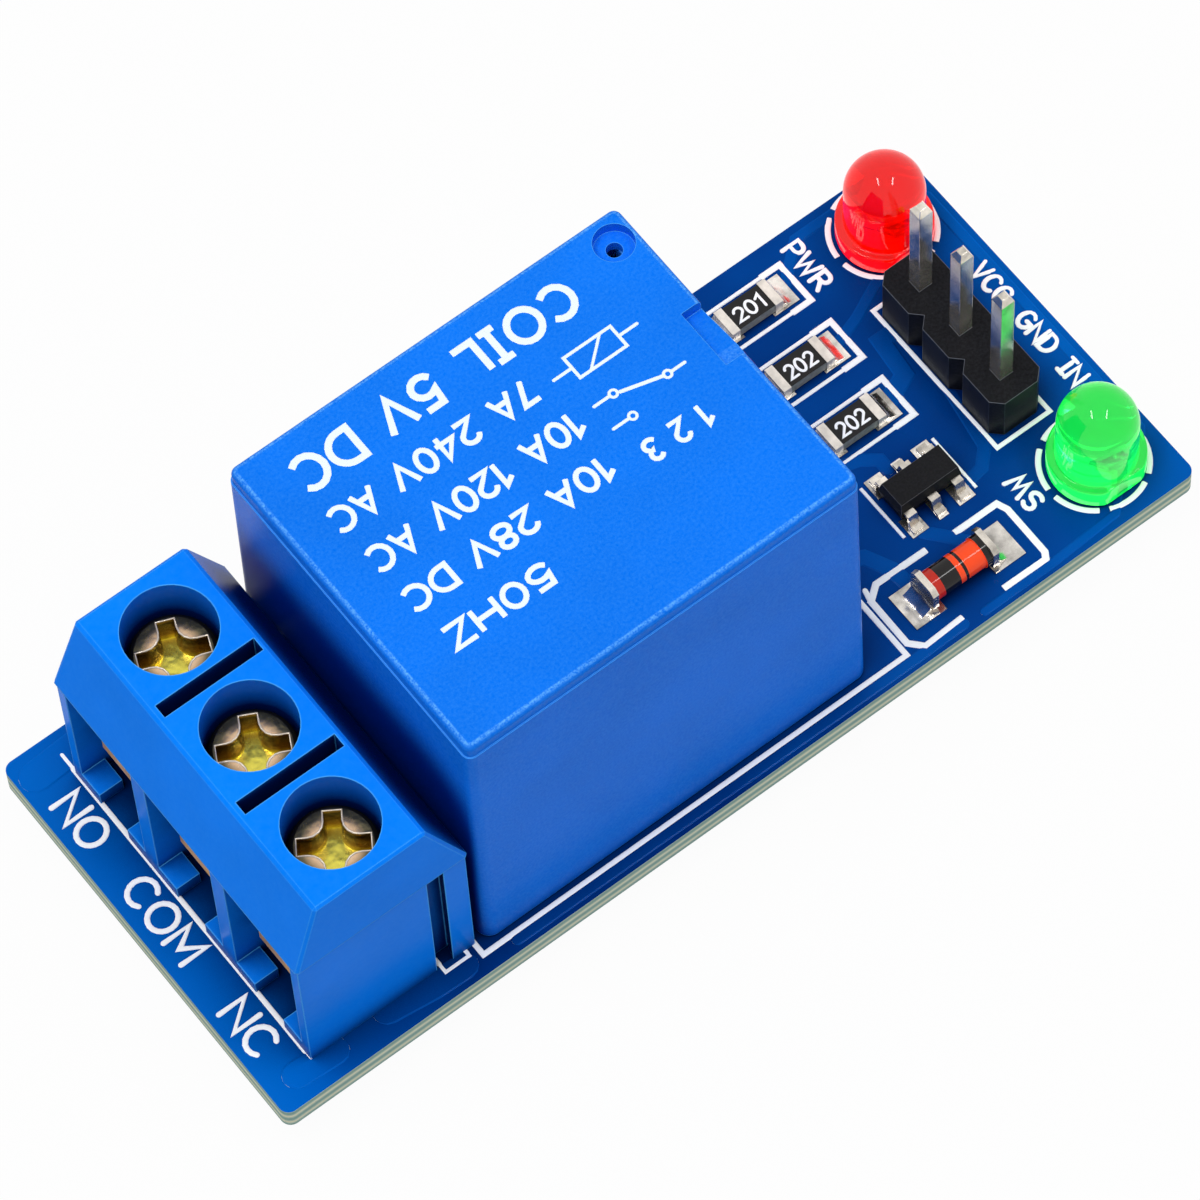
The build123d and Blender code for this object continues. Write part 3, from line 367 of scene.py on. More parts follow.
def screw_finish():
    """Painted light and shade: yellow on the floor of the recess and brown on its walls,
    and the flat of the head pale round the recess and dark toward its edge."""
    recess_depth = 1.3
    face_depth = 0.21
    finish = Finish("screw_metal", paint(226, 190, 90), 0.24, metallic=0.85)
    head_top = node_box("terminal_screw_1")[1].z
    middle = node_middle("terminal_screw_1")
    up_recess = finish.span(finish.axis("Z"), head_top - recess_depth, head_top)
    # Painted light and shade down the walls of the recess
    recess = finish.ramp(up_recess, [
        (0.0, paint(250, 236, 96)),
        (0.03, paint(232, 196, 70)),
        (0.24, paint(150, 104, 36)),
        (0.8, paint(62, 42, 18)),
        (1.0, paint(196, 150, 98)),
    ])
    across = finish.math("SUBTRACT", finish.axis("X"), middle.x)
    beside = finish.math("SUBTRACT", finish.axis("Y"), middle.y)
    # The screws stand one pitch apart, so the same rings come round each of them
    beside = finish.math("WRAP", beside, pole_pitch / 2, -pole_pitch / 2)
    from_axis = finish.math("SQRT", finish.math(
        "ADD", finish.math("POWER", across, 2), finish.math("POWER", beside, 2)
    ))
    # Painted highlight round the recess and painted shade toward the edge of the head
    flat = finish.ramp(finish.span(from_axis, 0.6, 1.72), [
        (0.0, paint(255, 232, 206)),
        (0.32, paint(226, 190, 152)),
        (0.6, paint(104, 98, 76)),
        (1.0, paint(42, 48, 42)),
    ])
    on_top = finish.math("GREATER_THAN", finish.axis("Z"), head_top - face_depth)
    looks_up = finish.math("GREATER_THAN", finish.facing_up(), 0.5)
    painted_head_shading = finish.mix(finish.math("MULTIPLY", on_top, looks_up), recess, flat)
    stain = finish.noise(0.5, detail=4.0)
    finish.color(finish.mix(finish.math("MULTIPLY", stain, 0.35), painted_head_shading, paint(84, 70, 44)))
    finish.roughness(finish.math("ADD", finish.math("MULTIPLY", stain, 0.24), 0.12))
    finish.bump(finish.noise(0.8, detail=2.0), 0.05)
    return finish


def diode_finish():
    """Glass with bands painted round it, from one end to the other."""
    low, high = node_box("diode_glass")
    finish = Finish("diode_glass", paint(236, 84, 34), 0.08, Specular_IOR_Level=0.3)
    red = paint(196, 36, 16)
    orange = paint(255, 74, 18)
    black = paint(22, 18, 17)
    bands = [(0.0, red), (0.15, black), (0.44, orange), (0.53, black), (0.58, orange), (0.9, black)]
    finish.color(finish.ramp(finish.span(finish.axis("X"), low.x, high.x), bands, steps=True))
    return finish


def epoxy_finish(dye, dye_and_glow):
    """Clear dyed epoxy with a painted glow: it gives off a little light, though it is no lamp."""
    finish = Finish(
        f"{dye}_epoxy", dye_and_glow, 0.02, Transmission_Weight=0.88, IOR=1.5, Specular_IOR_Level=0.25,
        # Painted glow in the colour of the dye
        Emission_Color=dye_and_glow, Emission_Strength=0.31,
    )
    finish.bump(finish.noise(1.6, detail=1.0), 0.02)
    return finish


solder_mask = mask_finish("solder_mask", paint(0, 46, 118), paint(0, 66, 146))
mask_over_copper = mask_finish("mask_over_copper", paint(0, 62, 142), paint(2, 82, 168))
# The second colour of each plastic is for its pale specks and for the painted highlight along its edges;
# hollow is a colour of painted shade
terminal_plastic = plastic_finish(
    "terminal_plastic", paint(2, 124, 246), paint(80, 178, 255), 0.26, grain=0.3, depth=0.004,
    specular=0.016, hollow=paint(0, 28, 96), reach=2.6,
)
relay_plastic = relay_cover_finish()
relay_base_plastic = plastic_finish(
    "relay_base_plastic", paint(28, 28, 32), paint(70, 72, 78), 0.5, grain=0.2, depth=0.004
)
bobbin_plastic = plastic_finish(
    "bobbin_plastic", paint(226, 224, 214), paint(240, 238, 230), 0.45, grain=0.3, depth=0.004
)
header_plastic = plastic_finish(
    "header_plastic", paint(16, 16, 19), paint(110, 114, 122), 0.36, grain=0.14, depth=0.006, edge=0.06,
    specular=0.055,
)
moulded_black = plastic_finish(
    "moulded_black", paint(24, 24, 26), paint(96, 96, 100), 0.42, grain=0.09, depth=0.006, edge=0.05,
    specular=0.06,
)
soft_iron = metal_finish("soft_iron", paint(160, 160, 164), 0.38, ripple=2.0)
spring_steel = metal_finish("spring_steel", paint(176, 176, 182), 0.28)
cage_steel = metal_finish("cage_steel", paint(188, 188, 192), 0.32, edge=0.05)
contact_brass = metal_finish("contact_brass", paint(255, 184, 64), 0.3, metallic=0.6, edge=0.05)
spring_bronze = metal_finish("spring_bronze", paint(214, 150, 104), 0.3)
tinned_metal = metal_finish(
    "tinned_metal", paint(242, 234, 222), 0.2, ripple=1.3, depth=0.08, dull=0.45, metallic=0.94
)
cap_metal = metal_finish("cap_metal", paint(242, 234, 222), 0.3, ripple=0.5, dull=0.75, metallic=0.4)
pin_metal = metal_finish(
    "pin_metal", paint(244, 236, 222), 0.15, ripple=0.9, spread=0.1, dull=0.55, metallic=0.84, edge=0.05
)
solder = metal_finish(
    "solder", paint(248, 242, 234), 0.2, ripple=1.5, depth=0.2, dull=0.36, metallic=0.94
)
# Pale metal for the screw lips: the lip is real, and its paleness is a painted highlight
highlight_rim_metal = metal_finish("highlight_rim_metal", paint(255, 238, 214), 0.16, ripple=0.3, metallic=0.5)
screw_metal = screw_finish()
white_ink = ink_finish("white_ink", paint(250, 252, 255), 0.5, 0.12, 0.6, 0.004)
relay_ink = ink_finish("relay_ink", paint(224, 236, 250), 0.45, 0.11, 0.7, 0.01)
# Each lens material carries a painted glow
dyed_glowing_epoxy = {
    "red": epoxy_finish("red", paint(255, 8, 0)),
    "green": epoxy_finish("green", paint(36, 242, 96)),
}

dress(solder_mask, "circuit_board")
dress(terminal_plastic, "terminal_housing")
dress(relay_plastic, "relay_cover")
dress(relay_base_plastic, "relay_base")
dress(soft_iron, "yoke", "coil_core", "armature")
dress(bobbin_plastic, "coil_bobbin")
dress(copper_wire_finish(), "coil_winding")
dress(spring_bronze, "contact_blade")
dress(spring_steel, "hinge_spring")
dress(contact_brass, "open_contact", "closed_contact", *numbered("terminal_contact"))
dress(cage_steel, *numbered("clamp_cage"))
dress(screw_metal, *numbered("terminal_screw"))
dress(header_plastic, "header_block")
dress(pin_metal, *numbered("header_pin"))
dress(tinned_metal, "coil_pin_1", "coil_pin_2", "transistor_leads", "diode_caps")
dress(tinned_metal, *lamp_leads)
dress(cap_metal, *numbered("resistor_caps"))
dress(resistor_finish(), *numbered("resistor_chip"))
dress(moulded_black, "transistor_body")
dress(diode_finish(), "diode_glass")
dress(solder, "solder_pads", "solder_cones")

# Shapes


def add_piece(name, shape, finish, body="module", smooth=False):
    """Turns a shape drawn in millimetres into a piece that rides on a body."""
    bmesh.ops.recalc_face_normals(shape, faces=shape.faces)
    mesh = bpy.data.meshes.new(name)
    shape.to_mesh(mesh)
    shape.free()
    mesh.transform(Matrix.Scale(mm, 4))
    if smooth:
        mesh.shade_smooth()
    mesh.materials.append(finish.material)
    piece = bpy.data.objects.new(name, mesh)
    bpy.context.scene.collection.objects.link(piece)
    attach(piece, body)
    return piece


def corner_normals(points, closed):
    """The sideways direction at each point, longer where the line turns."""
    normals = []
    count = len(points)
    for place, point in enumerate(points):
        before = points[place - 1] if closed or place else None
        after = points[(place + 1) % count] if closed or place < count - 1 else None
        sides = []
        for start, end in ((before, point), (point, after)):
            if start is not None and end is not None:
                along_line = (end - start).normalized()
                sides.append(Vector((-along_line.y, along_line.x)))
        middle = sum(sides, Vector((0, 0))).normalized()
        normals.append(middle / max(middle.dot(sides[0]), 0.5))
    return normals


def add_band(shape, rings, closed):
    """Joins rings of corners into one closed skin."""
    count = len(rings[0])
    pairs = list(zip(rings, rings[1:])) + ([(rings[-1], rings[0])] if closed else [])
    for first, second in pairs:
        for corner in range(count):
            after = (corner + 1) % count
            shape.faces.new((first[corner], first[after], second[after], second[corner]))
    if not closed:
        shape.faces.new(rings[0])
        shape.faces.new(rings[-1][::-1])


round_section = ((0.5, 0.0), (0.36, 0.78), (0.0, 1.0), (-0.36, 0.78), (-0.5, 0.0))
round_end = ((1.0, 0.12), (0.87, 0.5), (0.5, 0.87))
blunt_end = ((0.24, 0.86), (0.14, 0.97))


def add_stroke(shape, points, width, low, high, closed=False, blunt=False, section=round_section):
    """A line of that width, a little higher along its middle, with round or blunt ends."""
    points = [Vector(point[:2]) for point in points]
    path = [(point, normal, 1.0) for point, normal in zip(points, corner_normals(points, closed))]
    if not closed:
        end_shape = blunt_end if blunt else round_end
        lead_in = (points[0] - points[1]).normalized() * width / 2
        lead_out = (points[-1] - points[-2]).normalized() * width / 2
        before = [(points[0] + lead_in * far, path[0][1], share) for far, share in end_shape]
        after = [(points[-1] + lead_out * far, path[-1][1], share) for far, share in end_shape[::-1]]
        path = before + path + after
    rings = []
    for point, normal, share in path:
        height = (high - low) * share ** 0.5
        rings.append([
            shape.verts.new((*(point + normal * width * share * side), low + height * rise))
            for side, rise in section
        ])
    add_band(shape, rings, closed)


def flat_section(width, shoulder=0.07):
    """The section of a wide flat line, as add_stroke takes it."""
    inner = 0.5 - shoulder / width
    return ((0.5, 0.0), (inner, 1.0), (-inner, 1.0), (-0.5, 0.0))


def arc(x, y, radius_x, radius_y, start, end, steps=12):
    """Points on an ellipse from one angle to another, in degrees."""
    angles = [math.radians(start + (end - start) * step / steps) for step in range(steps + 1)]
    return [(x + radius_x * math.cos(a), y + radius_y * math.sin(a)) for a in angles]


def ring(x, y, radius_x, radius_y, steps=20):
    return arc(x, y, radius_x, radius_y, 0, 360 * (steps - 1) / steps, steps - 1)


# Letters in a box one unit high: width, open lines, closed lines
letters = {
    " ": (0.34, [], []),
    "A": (0.74, [[(0, 0), (0.37, 1), (0.74, 0)], [(0.14, 0.34), (0.6, 0.34)]], []),
    "C": (0.74, [arc(0.42, 0.5, 0.42, 0.5, 48, 312)], []),
    "D": (0.72, [], [[(0, 0), (0, 1)] + arc(0.26, 0.5, 0.46, 0.5, 90, -90)]),
    "G": (0.8, [arc(0.42, 0.5, 0.42, 0.5, 48, 345) + [(0.8, 0.46), (0.5, 0.46)]], []),
    "H": (0.66, [[(0, 0), (0, 1)], [(0.66, 0), (0.66, 1)], [(0, 0.5), (0.66, 0.5)]], []),
    "I": (0.4, [[(0.2, 0), (0.2, 1)], [(0, 0), (0.4, 0)], [(0, 1), (0.4, 1)]], []),
    "L": (0.54, [[(0, 1), (0, 0), (0.54, 0)]], []),
    "M": (0.86, [[(0, 0), (0, 1), (0.43, 0.28), (0.86, 1), (0.86, 0)]], []),
    "N": (0.72, [[(0, 0), (0, 1), (0.72, 0), (0.72, 1)]], []),
    "O": (0.86, [], [ring(0.43, 0.5, 0.43, 0.5)]),
    "P": (0.6, [[(0, 0), (0, 1)] + arc(0.32, 0.73, 0.28, 0.27, 90, -90) + [(0, 0.46)]], []),
    "R": (0.64, [
        [(0, 0), (0, 1)] + arc(0.32, 0.73, 0.28, 0.27, 90, -90) + [(0, 0.46)],
        [(0.3, 0.46), (0.64, 0)],
    ], []),
    "S": (0.66, [
        arc(0.33, 0.74, 0.3, 0.26, 35, 270, 9)[:-1] + arc(0.33, 0.24, 0.33, 0.24, 90, -145, 9)
    ], []),
    "V": (0.74, [[(0, 1), (0.37, 0), (0.74, 1)]], []),
    "W": (1.0, [[(0, 1), (0.25, 0), (0.5, 0.76), (0.75, 0), (1.0, 1)]], []),
    "Z": (0.62, [[(0, 1), (0.62, 1), (0, 0), (0.62, 0)]], []),
    "0": (0.6, [], [ring(0.3, 0.5, 0.3, 0.5)]),
    "1": (0.34, [[(0, 0.78), (0.3, 1), (0.3, 0)]], []),
    "2": (0.6, [arc(0.3, 0.71, 0.29, 0.29, 165, -30, 10) + [(0, 0), (0.6, 0)]], []),
    "3": (0.58, [
        arc(0.28, 0.75, 0.26, 0.25, 150, -80, 8) + arc(0.28, 0.26, 0.3, 0.26, 80, -150, 9)
    ], []),
    "4": (0.66, [[(0.5, 0), (0.5, 1), (0, 0.3), (0.66, 0.3)]], []),
    "5": (0.6, [[(0.55, 1), (0.1, 1), (0.05, 0.54)] + arc(0.28, 0.32, 0.31, 0.32, 110, -150, 10)], []),
    "7": (0.56, [[(0, 1), (0.56, 1), (0.2, 0)]], []),
    "8": (0.6, [], [ring(0.3, 0.76, 0.25, 0.24, 16), ring(0.3, 0.26, 0.3, 0.26, 16)]),
}
letter_gap = 0.24


def add_words(shape, words, middle, reading, height, weight, low, high, length=None, blunt=False):
    """Words drawn as lines, centred on middle. They read along a direction,
    and length squeezes or stretches them to fit."""
    reading = Vector(reading)
    upright = Vector((-reading.y, reading.x))
    natural = sum(letters[letter][0] + letter_gap for letter in words) - letter_gap
    stretch = length / (natural * height) if length else 1.0
    corner = Vector(middle) - reading * natural * stretch * height / 2 - upright * height / 2
    at = 0.0
    for letter in words:
        width, open_lines, closed_lines = letters[letter]
        for lines, closed in ((open_lines, False), (closed_lines, True)):
            for line in lines:
                points = [
                    corner + reading * (at + x) * stretch * height + upright * y * height for x, y in line
                ]
                add_stroke(shape, points, weight, low, high, closed, blunt)
        at += width + letter_gap


def add_frame(shape, low_corner, high_corner, width, low, high):
    (x1, y1), (x2, y2) = low_corner, high_corner
    add_stroke(shape, [(x1, y1), (x2, y1), (x2, y2), (x1, y2)], width, low, high, closed=True)


def add_lathe(shape, middle, profile, steps):
    """A solid of revolution. profile is (radius, height) from the bottom up."""
    rings = []
    for radius, height in profile:
        if radius == 0:
            rings.append([shape.verts.new((middle[0], middle[1], height))])
            continue
        rings.append([
            shape.verts.new((
                middle[0] + radius * math.cos(2 * math.pi * step / steps),
                middle[1] + radius * math.sin(2 * math.pi * step / steps),
                height,
            ))
            for step in range(steps)
        ])
    for below, above in zip(rings, rings[1:]):
        for step in range(steps):
            after = (step + 1) % steps
            if len(below) == 1:
                shape.faces.new((below[0], above[after], above[step]))
            elif len(above) == 1:
                shape.faces.new((below[step], below[after], above[0]))
            else:
                shape.faces.new((below[step], below[after], above[after], above[step]))


# Print on the board
toward_minus_y = (0, -1)
toward_plus_y = (0, 1)
toward_plus_x = (1, 0)
toward_minus_x = (-1, 0)


def print_board():
    """White lines and generic pin labels on the lacquer."""
    ink_low = board_top
    ink_high = board_top + 0.035
    drawn = bmesh.new()
    add_stroke(drawn, [(-20.07, 8.33), (-20.07, -7.98)], 0.22, ink_low, ink_high)
    add_stroke(
        drawn, [(-13.9, -7.6), (-13.9, -8.3), (-12.78, -8.3), (-12.78, -7.85)], 0.2, ink_low, ink_high,
        blunt=True,
    )
    add_frame(drawn, (-12.32, -8.6), (8.32, 7.4), 0.24, ink_low, ink_high)
    add_frame(drawn, (16.8, -3.65), (19.46, 4.24), 0.2, ink_low, ink_high)
    add_stroke(drawn, [(8.79, -5.38), (8.69, -5.81)], 0.22, ink_low, ink_high)

    start_x, end_x = 10.45, 15.18
    half_width = 1.03
    corner_reach = 0.95
    for number in numbers:
        middle = node_middle(f"resistor_chip_{number}")
        add_frame(
            drawn, (start_x, middle.y - half_width), (end_x, middle.y + half_width), 0.17, ink_low, ink_high
        )
        for corner_x, inward in ((start_x, 1), (end_x, -1)):
            reach_x = corner_x + inward * corner_reach
            add_stroke(drawn, [
                (reach_x, middle.y - half_width), (corner_x, middle.y - half_width),
                (corner_x, middle.y + half_width), (reach_x, middle.y + half_width),
            ], 0.27, ink_low, ink_high + 0.004, blunt=True)

    body_low, body_high = node_box("transistor_body")
    for bar_x in (body_low.x - 0.3, body_high.x + 0.3):
        add_stroke(drawn, [(bar_x, -1.75), (bar_x, -4.5)], 0.15, ink_low, ink_high, blunt=True)

    for bracket in (
        [(11.75, -5.46), (9.3, -5.42), (8.68, -5.9), (8.65, -8.2), (9.15, -8.75), (11.03, -8.66)],
        [(13.14, -5.56), (15.22, -5.57), (15.4, -6.03), (15.37, -8.4), (15.2, -8.68), (13.12, -8.66)],
    ):
        add_stroke(drawn, bracket, 0.29, ink_low, ink_high, blunt=True)

    lamp_ring_radius = 2.2
    for lamp in lamps:
        middle = node_middle(f"{lamp}_lens")
        lamp_x = node_middle(f"{lamp}_anode").x
        for start in (8, 68, 128, 188, 248, 308):
            part_ring = arc(lamp_x, middle.y, lamp_ring_radius, lamp_ring_radius, start, start + 48, 10)
            add_stroke(drawn, part_ring, 0.24, ink_low, ink_high, blunt=True)

    label_height = 1.24
    label_weight = 0.23
    small_height = 0.8
    small_weight = 0.2
    for words, x, y, reading, height, weight, length in (
        ("NO", -21.1, 5.55, toward_minus_y, label_height, label_weight, 2.35),
        ("COM", -21.06, 0.2, toward_minus_y, label_height, label_weight, 3.95),
        ("NC", -21.15, -5.5, toward_minus_y, label_height, label_weight, 2.3),
        ("PWR", 16.05, 7.5, toward_minus_y, small_height, small_weight, 2.3),
        ("SW", 16.4, -5.85, toward_plus_y, small_height, small_weight, 1.55),
        ("VCC", 21.3, 2.3, toward_minus_y, small_height, small_weight, 1.85),
        ("GND", 21.32, -0.55, toward_minus_y, small_height, small_weight, 1.95),
        ("IN", 21.28, -2.85, toward_minus_y, small_height, small_weight, 1.0),
    ):
        add_words(drawn, words, (x, y), reading, height, weight, ink_low, ink_high, length)
    add_piece("board_print", drawn, white_ink)


def lay_traces():
    """Copper under the lacquer, on both faces."""
    copper_height = 0.016
    # Each trace is a little higher than the last, so that none meet in one plane
    height_step = 0.001
    board_traces = bmesh.new()
    for place, (width, points) in enumerate((
        (0.55, [(14.9, -4.1), (15.75, -3.97), (16.44, -3.3), (17.1, 0.45), (18.2, 0.45)]),
        (0.7, [(6.6, -2.6), (9.66, -4.2), (10.2, -5.3), (10.3, -6.6)]),
        (0.6, [(12.2, -3.9), (12.2, -4.8), (12.7, -5.4), (13.6, -6.6)]),
        (0.6, [(12.83, -1.7), (12.83, -1.2), (12.2, -0.7), (11.2, -0.4)]),
        (0.8, [(14.6, 0.6), (16.0, 1.2), (16.2, 2.99), (18.2, 2.99)]),
        (0.5, [(14.6, 3.9), (16.1, 4.4), (18.0, 5.3), (19.4, 5.5)]),
        (0.5, [
            (14.6, 7.2), (16.4, 8.75), (19.2, 8.75), (20.9, 8.2), (21.75, 7.0), (21.75, -6.4), (20.6, -7.9)
        ]),
        (0.6, [(11.0, 7.2), (9.6, 6.6), (9.5, 1.2), (11.0, 0.6)]),
        (0.6, [(11.0, 3.9), (9.5, 3.9)]),
        (0.5, [(-10.9, -8.9), (2.0, -8.92), (8.13, -8.94), (10.9, -8.9)]),
        (0.4, [(11.9, -8.98), (13.8, -8.98), (15.2, -8.98), (18.6, -8.8), (19.4, -8.0)]),
        (1.2, [(-16.6, -8.2), (-14.6, -8.45), (-13.2, -8.5)]),
        (1.4, [(-21.4, 8.2), (-18.0, 8.4), (-13.0, 8.3), (6.0, 8.2)]),
        (1.2, [(-20.9, -8.2), (-19.2, -8.3)]),
    )):
        rise = copper_height + place * height_step
        add_stroke(board_traces, points, width, board_top, board_top + rise, section=flat_section(width))
    via_radius = 0.24
    via_line = 0.2
    via_top = board_top + 2.5 * copper_height
    for via_x, via_y in ((9.6, -1.1), (9.4, -3.0)):
        via_ring = ring(via_x, via_y, via_radius, via_radius, 18)
        add_stroke(board_traces, via_ring, via_line, board_top, via_top, closed=True)

    for place, (width, points) in enumerate((
        (3.2, [(-16.3, 4.75), (-12.5, 5.4), (-10.3, 4.1)]),
        (3.4, [(-16.3, -0.33), (-8.0, -0.6), (4.3, -0.6)]),
        (3.2, [(-16.3, -5.41), (-12.5, -6.0), (-10.3, -5.3)]),
        (0.7, [(2.3, 5.2), (6.0, 5.2), (9.6, 4.4), (12.0, 2.99), (18.2, 2.99)]),
        (0.7, [(2.3, -6.4), (7.0, -6.4), (10.0, -7.4), (16.0, -7.9), (19.4, -7.87)]),
        (0.9, [(18.2, 0.45), (15.0, 0.45), (12.6, -1.2), (9.4, -3.0)]),
        (0.6, [(18.2, -2.09), (17.0, -3.2), (15.9, -1.9)]),
        (0.6, [(19.4, 8.07), (17.4, 7.4), (16.1, 5.9)]),
        (0.6, [(19.4, 5.53), (21.0, 5.0), (21.4, 1.0), (21.2, -3.6), (19.4, -5.33)]),
    )):
        rise = copper_height + place * height_step
        section = flat_section(width)
        add_stroke(board_traces, points, width, board_bottom, board_bottom - rise, section=section)
    add_piece("board_traces", board_traces, mask_over_copper)


# Print on the relay and the chips


def print_relay():
    """Generic ratings, a coil symbol, its contacts and their numbers."""
    relay_print = bmesh.new()
    print_low = relay_top
    print_high = relay_top + 0.02
    for words, x, y, height, weight, length in (
        ("COIL 5V DC", -3.5, 4.83, 1.42, 0.29, 12.7),
        ("7A 240V AC", -5.35, 2.52, 1.0, 0.22, 9.2),
        ("10A 120V AC", -5.0, 0.33, 1.02, 0.22, 9.6),
        ("10A 28V DC", -5.1, -1.82, 0.98, 0.22, 9.3),
        ("50HZ", -7.15, -4.0, 0.95, 0.22, 4.6),
    ):
        add_words(
            relay_print, words, (x, y), toward_minus_x, height, weight, print_low, print_high, length, True
        )
    add_frame(relay_print, (0.95, 1.75), (3.15, 2.8), 0.14, print_low, print_high)
    contact_radius = 0.16
    for dot_x, dot_y in ((1.5, 0.45), (1.5, -0.75), (3.6, -0.15)):
        dot = ring(dot_x, dot_y, contact_radius, contact_radius, 16)
        add_stroke(relay_print, dot, 0.12, print_low, print_high, closed=True)
    for start, end, weight in (
        ((1.45, 1.75), (2.65, 2.8), 0.12),
        ((0.1, 2.27), (0.95, 2.27), 0.14),
        ((3.15, 2.27), (4.0, 2.27), 0.14),
        ((3.44, -0.12), (1.75, 0.35), 0.16),
        ((1.34, 0.45), (0.6, 0.45), 0.14),
        ((1.34, -0.75), (0.6, -0.75), 0.14),
        ((3.76, -0.15), (4.4, -0.15), 0.14),
    ):
        add_stroke(relay_print, [start, end], weight, print_low, print_high)
    add_words(
        relay_print, "1 2 3", (2.4, -2.35), toward_minus_x, 0.9, 0.2, print_low, print_high, blunt=True
    )
    add_piece("relay_print", relay_print, relay_ink)


def print_resistors():
    """Plain numbers on the three chips."""
    resistor_print = bmesh.new()
    for number, digits in ((1, "201"), (2, "202"), (3, "202")):
        middle = node_middle(f"resistor_chip_{number}")
        top = node_box(f"resistor_chip_{number}")[1].z
        add_words(
            resistor_print, digits, (middle.x, middle.y - 0.04), toward_plus_x, 0.62, 0.12,
            top, top + 0.012, 1.3,
        )
    add_piece("resistor_print", resistor_print, white_ink)


# Screws, lamps and solder


def line_recess(number):
    """A bright lip round the cross recess of a screw, whose pale colour is a painted highlight.
    Each screw stands turned a little further than the last."""
    middle = node_middle(f"terminal_screw_{number}")
    top = node_box(f"terminal_screw_{number}")[1].z
    half_span, half_arm, corner_radius = 1.42, 0.37, 0.62
    first_turn, turn_step = -22, -5.5
    lip_radius = 0.042
    sunk = 0.005
    corner = half_arm + corner_radius
    arm = [(half_span, -half_arm), (half_span, half_arm)]
    for degrees in (0, 22.5, 45, 67.5, 90):
        angle = math.radians(degrees)
        arm.append((corner - corner_radius * math.sin(angle), corner - corner_radius * math.cos(angle)))
    turn = math.radians(first_turn + turn_step * (number - 1))
    outline = []
    for quarter in range(4):
        spin = Matrix.Rotation(math.pi / 2 * quarter + turn, 2)
        outline += [spin @ Vector(point) for point in arm]

    name = f"screw_lip_{number}"
    lip = bpy.data.curves.new(name, "CURVE")
    lip.dimensions = "3D"
    line = lip.splines.new("POLY")
    line.points.add(len(outline) - 1)
    for point, place in zip(line.points, outline):
        point.co = ((middle.x + place.x) * mm, (middle.y + place.y) * mm, (top - sunk) * mm, 1)
    line.use_cyclic_u = True
    lip.bevel_depth = lip_radius * mm
    lip.bevel_resolution = 2
    lip.materials.append(highlight_rim_metal.material)
    piece = bpy.data.objects.new(name, lip)
    bpy.context.scene.collection.objects.link(piece)
    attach(piece, f"screw_{number}")


def cast_lamp(lamp, dye):
    """A lens with a round dome and a soft-edged flange that is flat on one side."""
    low, high = node_box(f"{lamp}_lens")
    radius, flange_radius, flange_height, soft = 1.66, 2.0, 1.0, 0.1
    flange_top = low.z + flange_height
    dome_base = high.z - radius
    dome_steps = 16
    corner = flange_radius - soft
    profile = [(0, low.z), (corner, low.z)]
    profile += arc(corner, low.z + soft, soft, soft, -90, 0, 4)[1:]
    profile += arc(corner, flange_top - soft, soft, soft, 0, 90, 4)
    # The hollow corner between the flange and the barrel
    profile += arc(radius + soft, flange_top + soft, soft, soft, 270, 180, 4)
    profile += arc(0, dome_base, radius, radius, 0, 90, dome_steps)[:-1]
    profile.append((0, high.z))
    lens = bmesh.new()
    add_lathe(lens, (node_middle(f"{lamp}_anode").x, high.y - flange_radius), profile, 72)
    for vert in lens.verts:
        if vert.co.z < flange_top + soft / 2:
            vert.co.y = max(vert.co.y, low.y)
    piece = add_piece(f"{lamp}_dome", lens, dyed_glowing_epoxy[dye], smooth=True)
    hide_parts(f"{lamp}_lens")


def pour_solder():
    """A hollow-sided cone of solder round every tail under the board."""
    tail_nodes = numbered("terminal_contact") + numbered("header_pin")
    tail_nodes += ["open_contact", "closed_contact", "yoke", "coil_pin_1", "coil_pin_2"] + lamp_leads
    solder_height = 0.75
    solder_steps = 8
    neck_gap = 0.06
    foot_width = 0.55
    solder_joints = bmesh.new()
    for name in tail_nodes:
        tail = [vert.co / mm for vert in nodes[name].data.vertices if vert.co.z / mm < board_bottom - 0.2]
        low_x, high_x = min(point.x for point in tail), max(point.x for point in tail)
        low_y, high_y = min(point.y for point in tail), max(point.y for point in tail)
        neck = math.hypot(high_x - low_x, high_y - low_y) / 2 + neck_gap
        profile = [(0, board_bottom - solder_height)]
        for step in range(solder_steps + 1):
            share = step / solder_steps
            spread = foot_width * (1 - math.sqrt(1 - share * share))
            profile.append((neck + spread, board_bottom - solder_height * (1 - share)))
        profile.append((0, board_bottom))
        add_lathe(solder_joints, ((low_x + high_x) / 2, (low_y + high_y) / 2), profile, 32)
    piece = add_piece("solder_joints", solder_joints, solder, smooth=True)
    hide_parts("solder_cones")


print_board()
lay_traces()
print_relay()
print_resistors()
for number in numbers:
    line_recess(number)
for lamp, dye in lamps.items():
    cast_lamp(lamp, dye)
pour_solder()

# Camera
view_azimuth, view_elevation, view_roll = -33.65, 62.9, -4.2
camera_place = Vector((-75.478, -113.286, 270.854)) * mm
focal_pixels, frame_pixels, sensor_width = 7688, 1200, 36.0

azimuth, elevation, roll = (math.radians(angle) for angle in (view_azimuth, view_elevation, view_roll))
backward = Vector((
    math.sin(azimuth) * math.cos(elevation), -math.cos(azimuth) * math.cos(elevation), math.sin(elevation)
))
level = Vector((0, 0, 1)).cross(backward).normalized()
rise = backward.cross(level)
right = level * math.cos(roll) + rise * math.sin(roll)
upward = rise * math.cos(roll) - level * math.sin(roll)
facing = Matrix((right, upward, backward)).transposed()

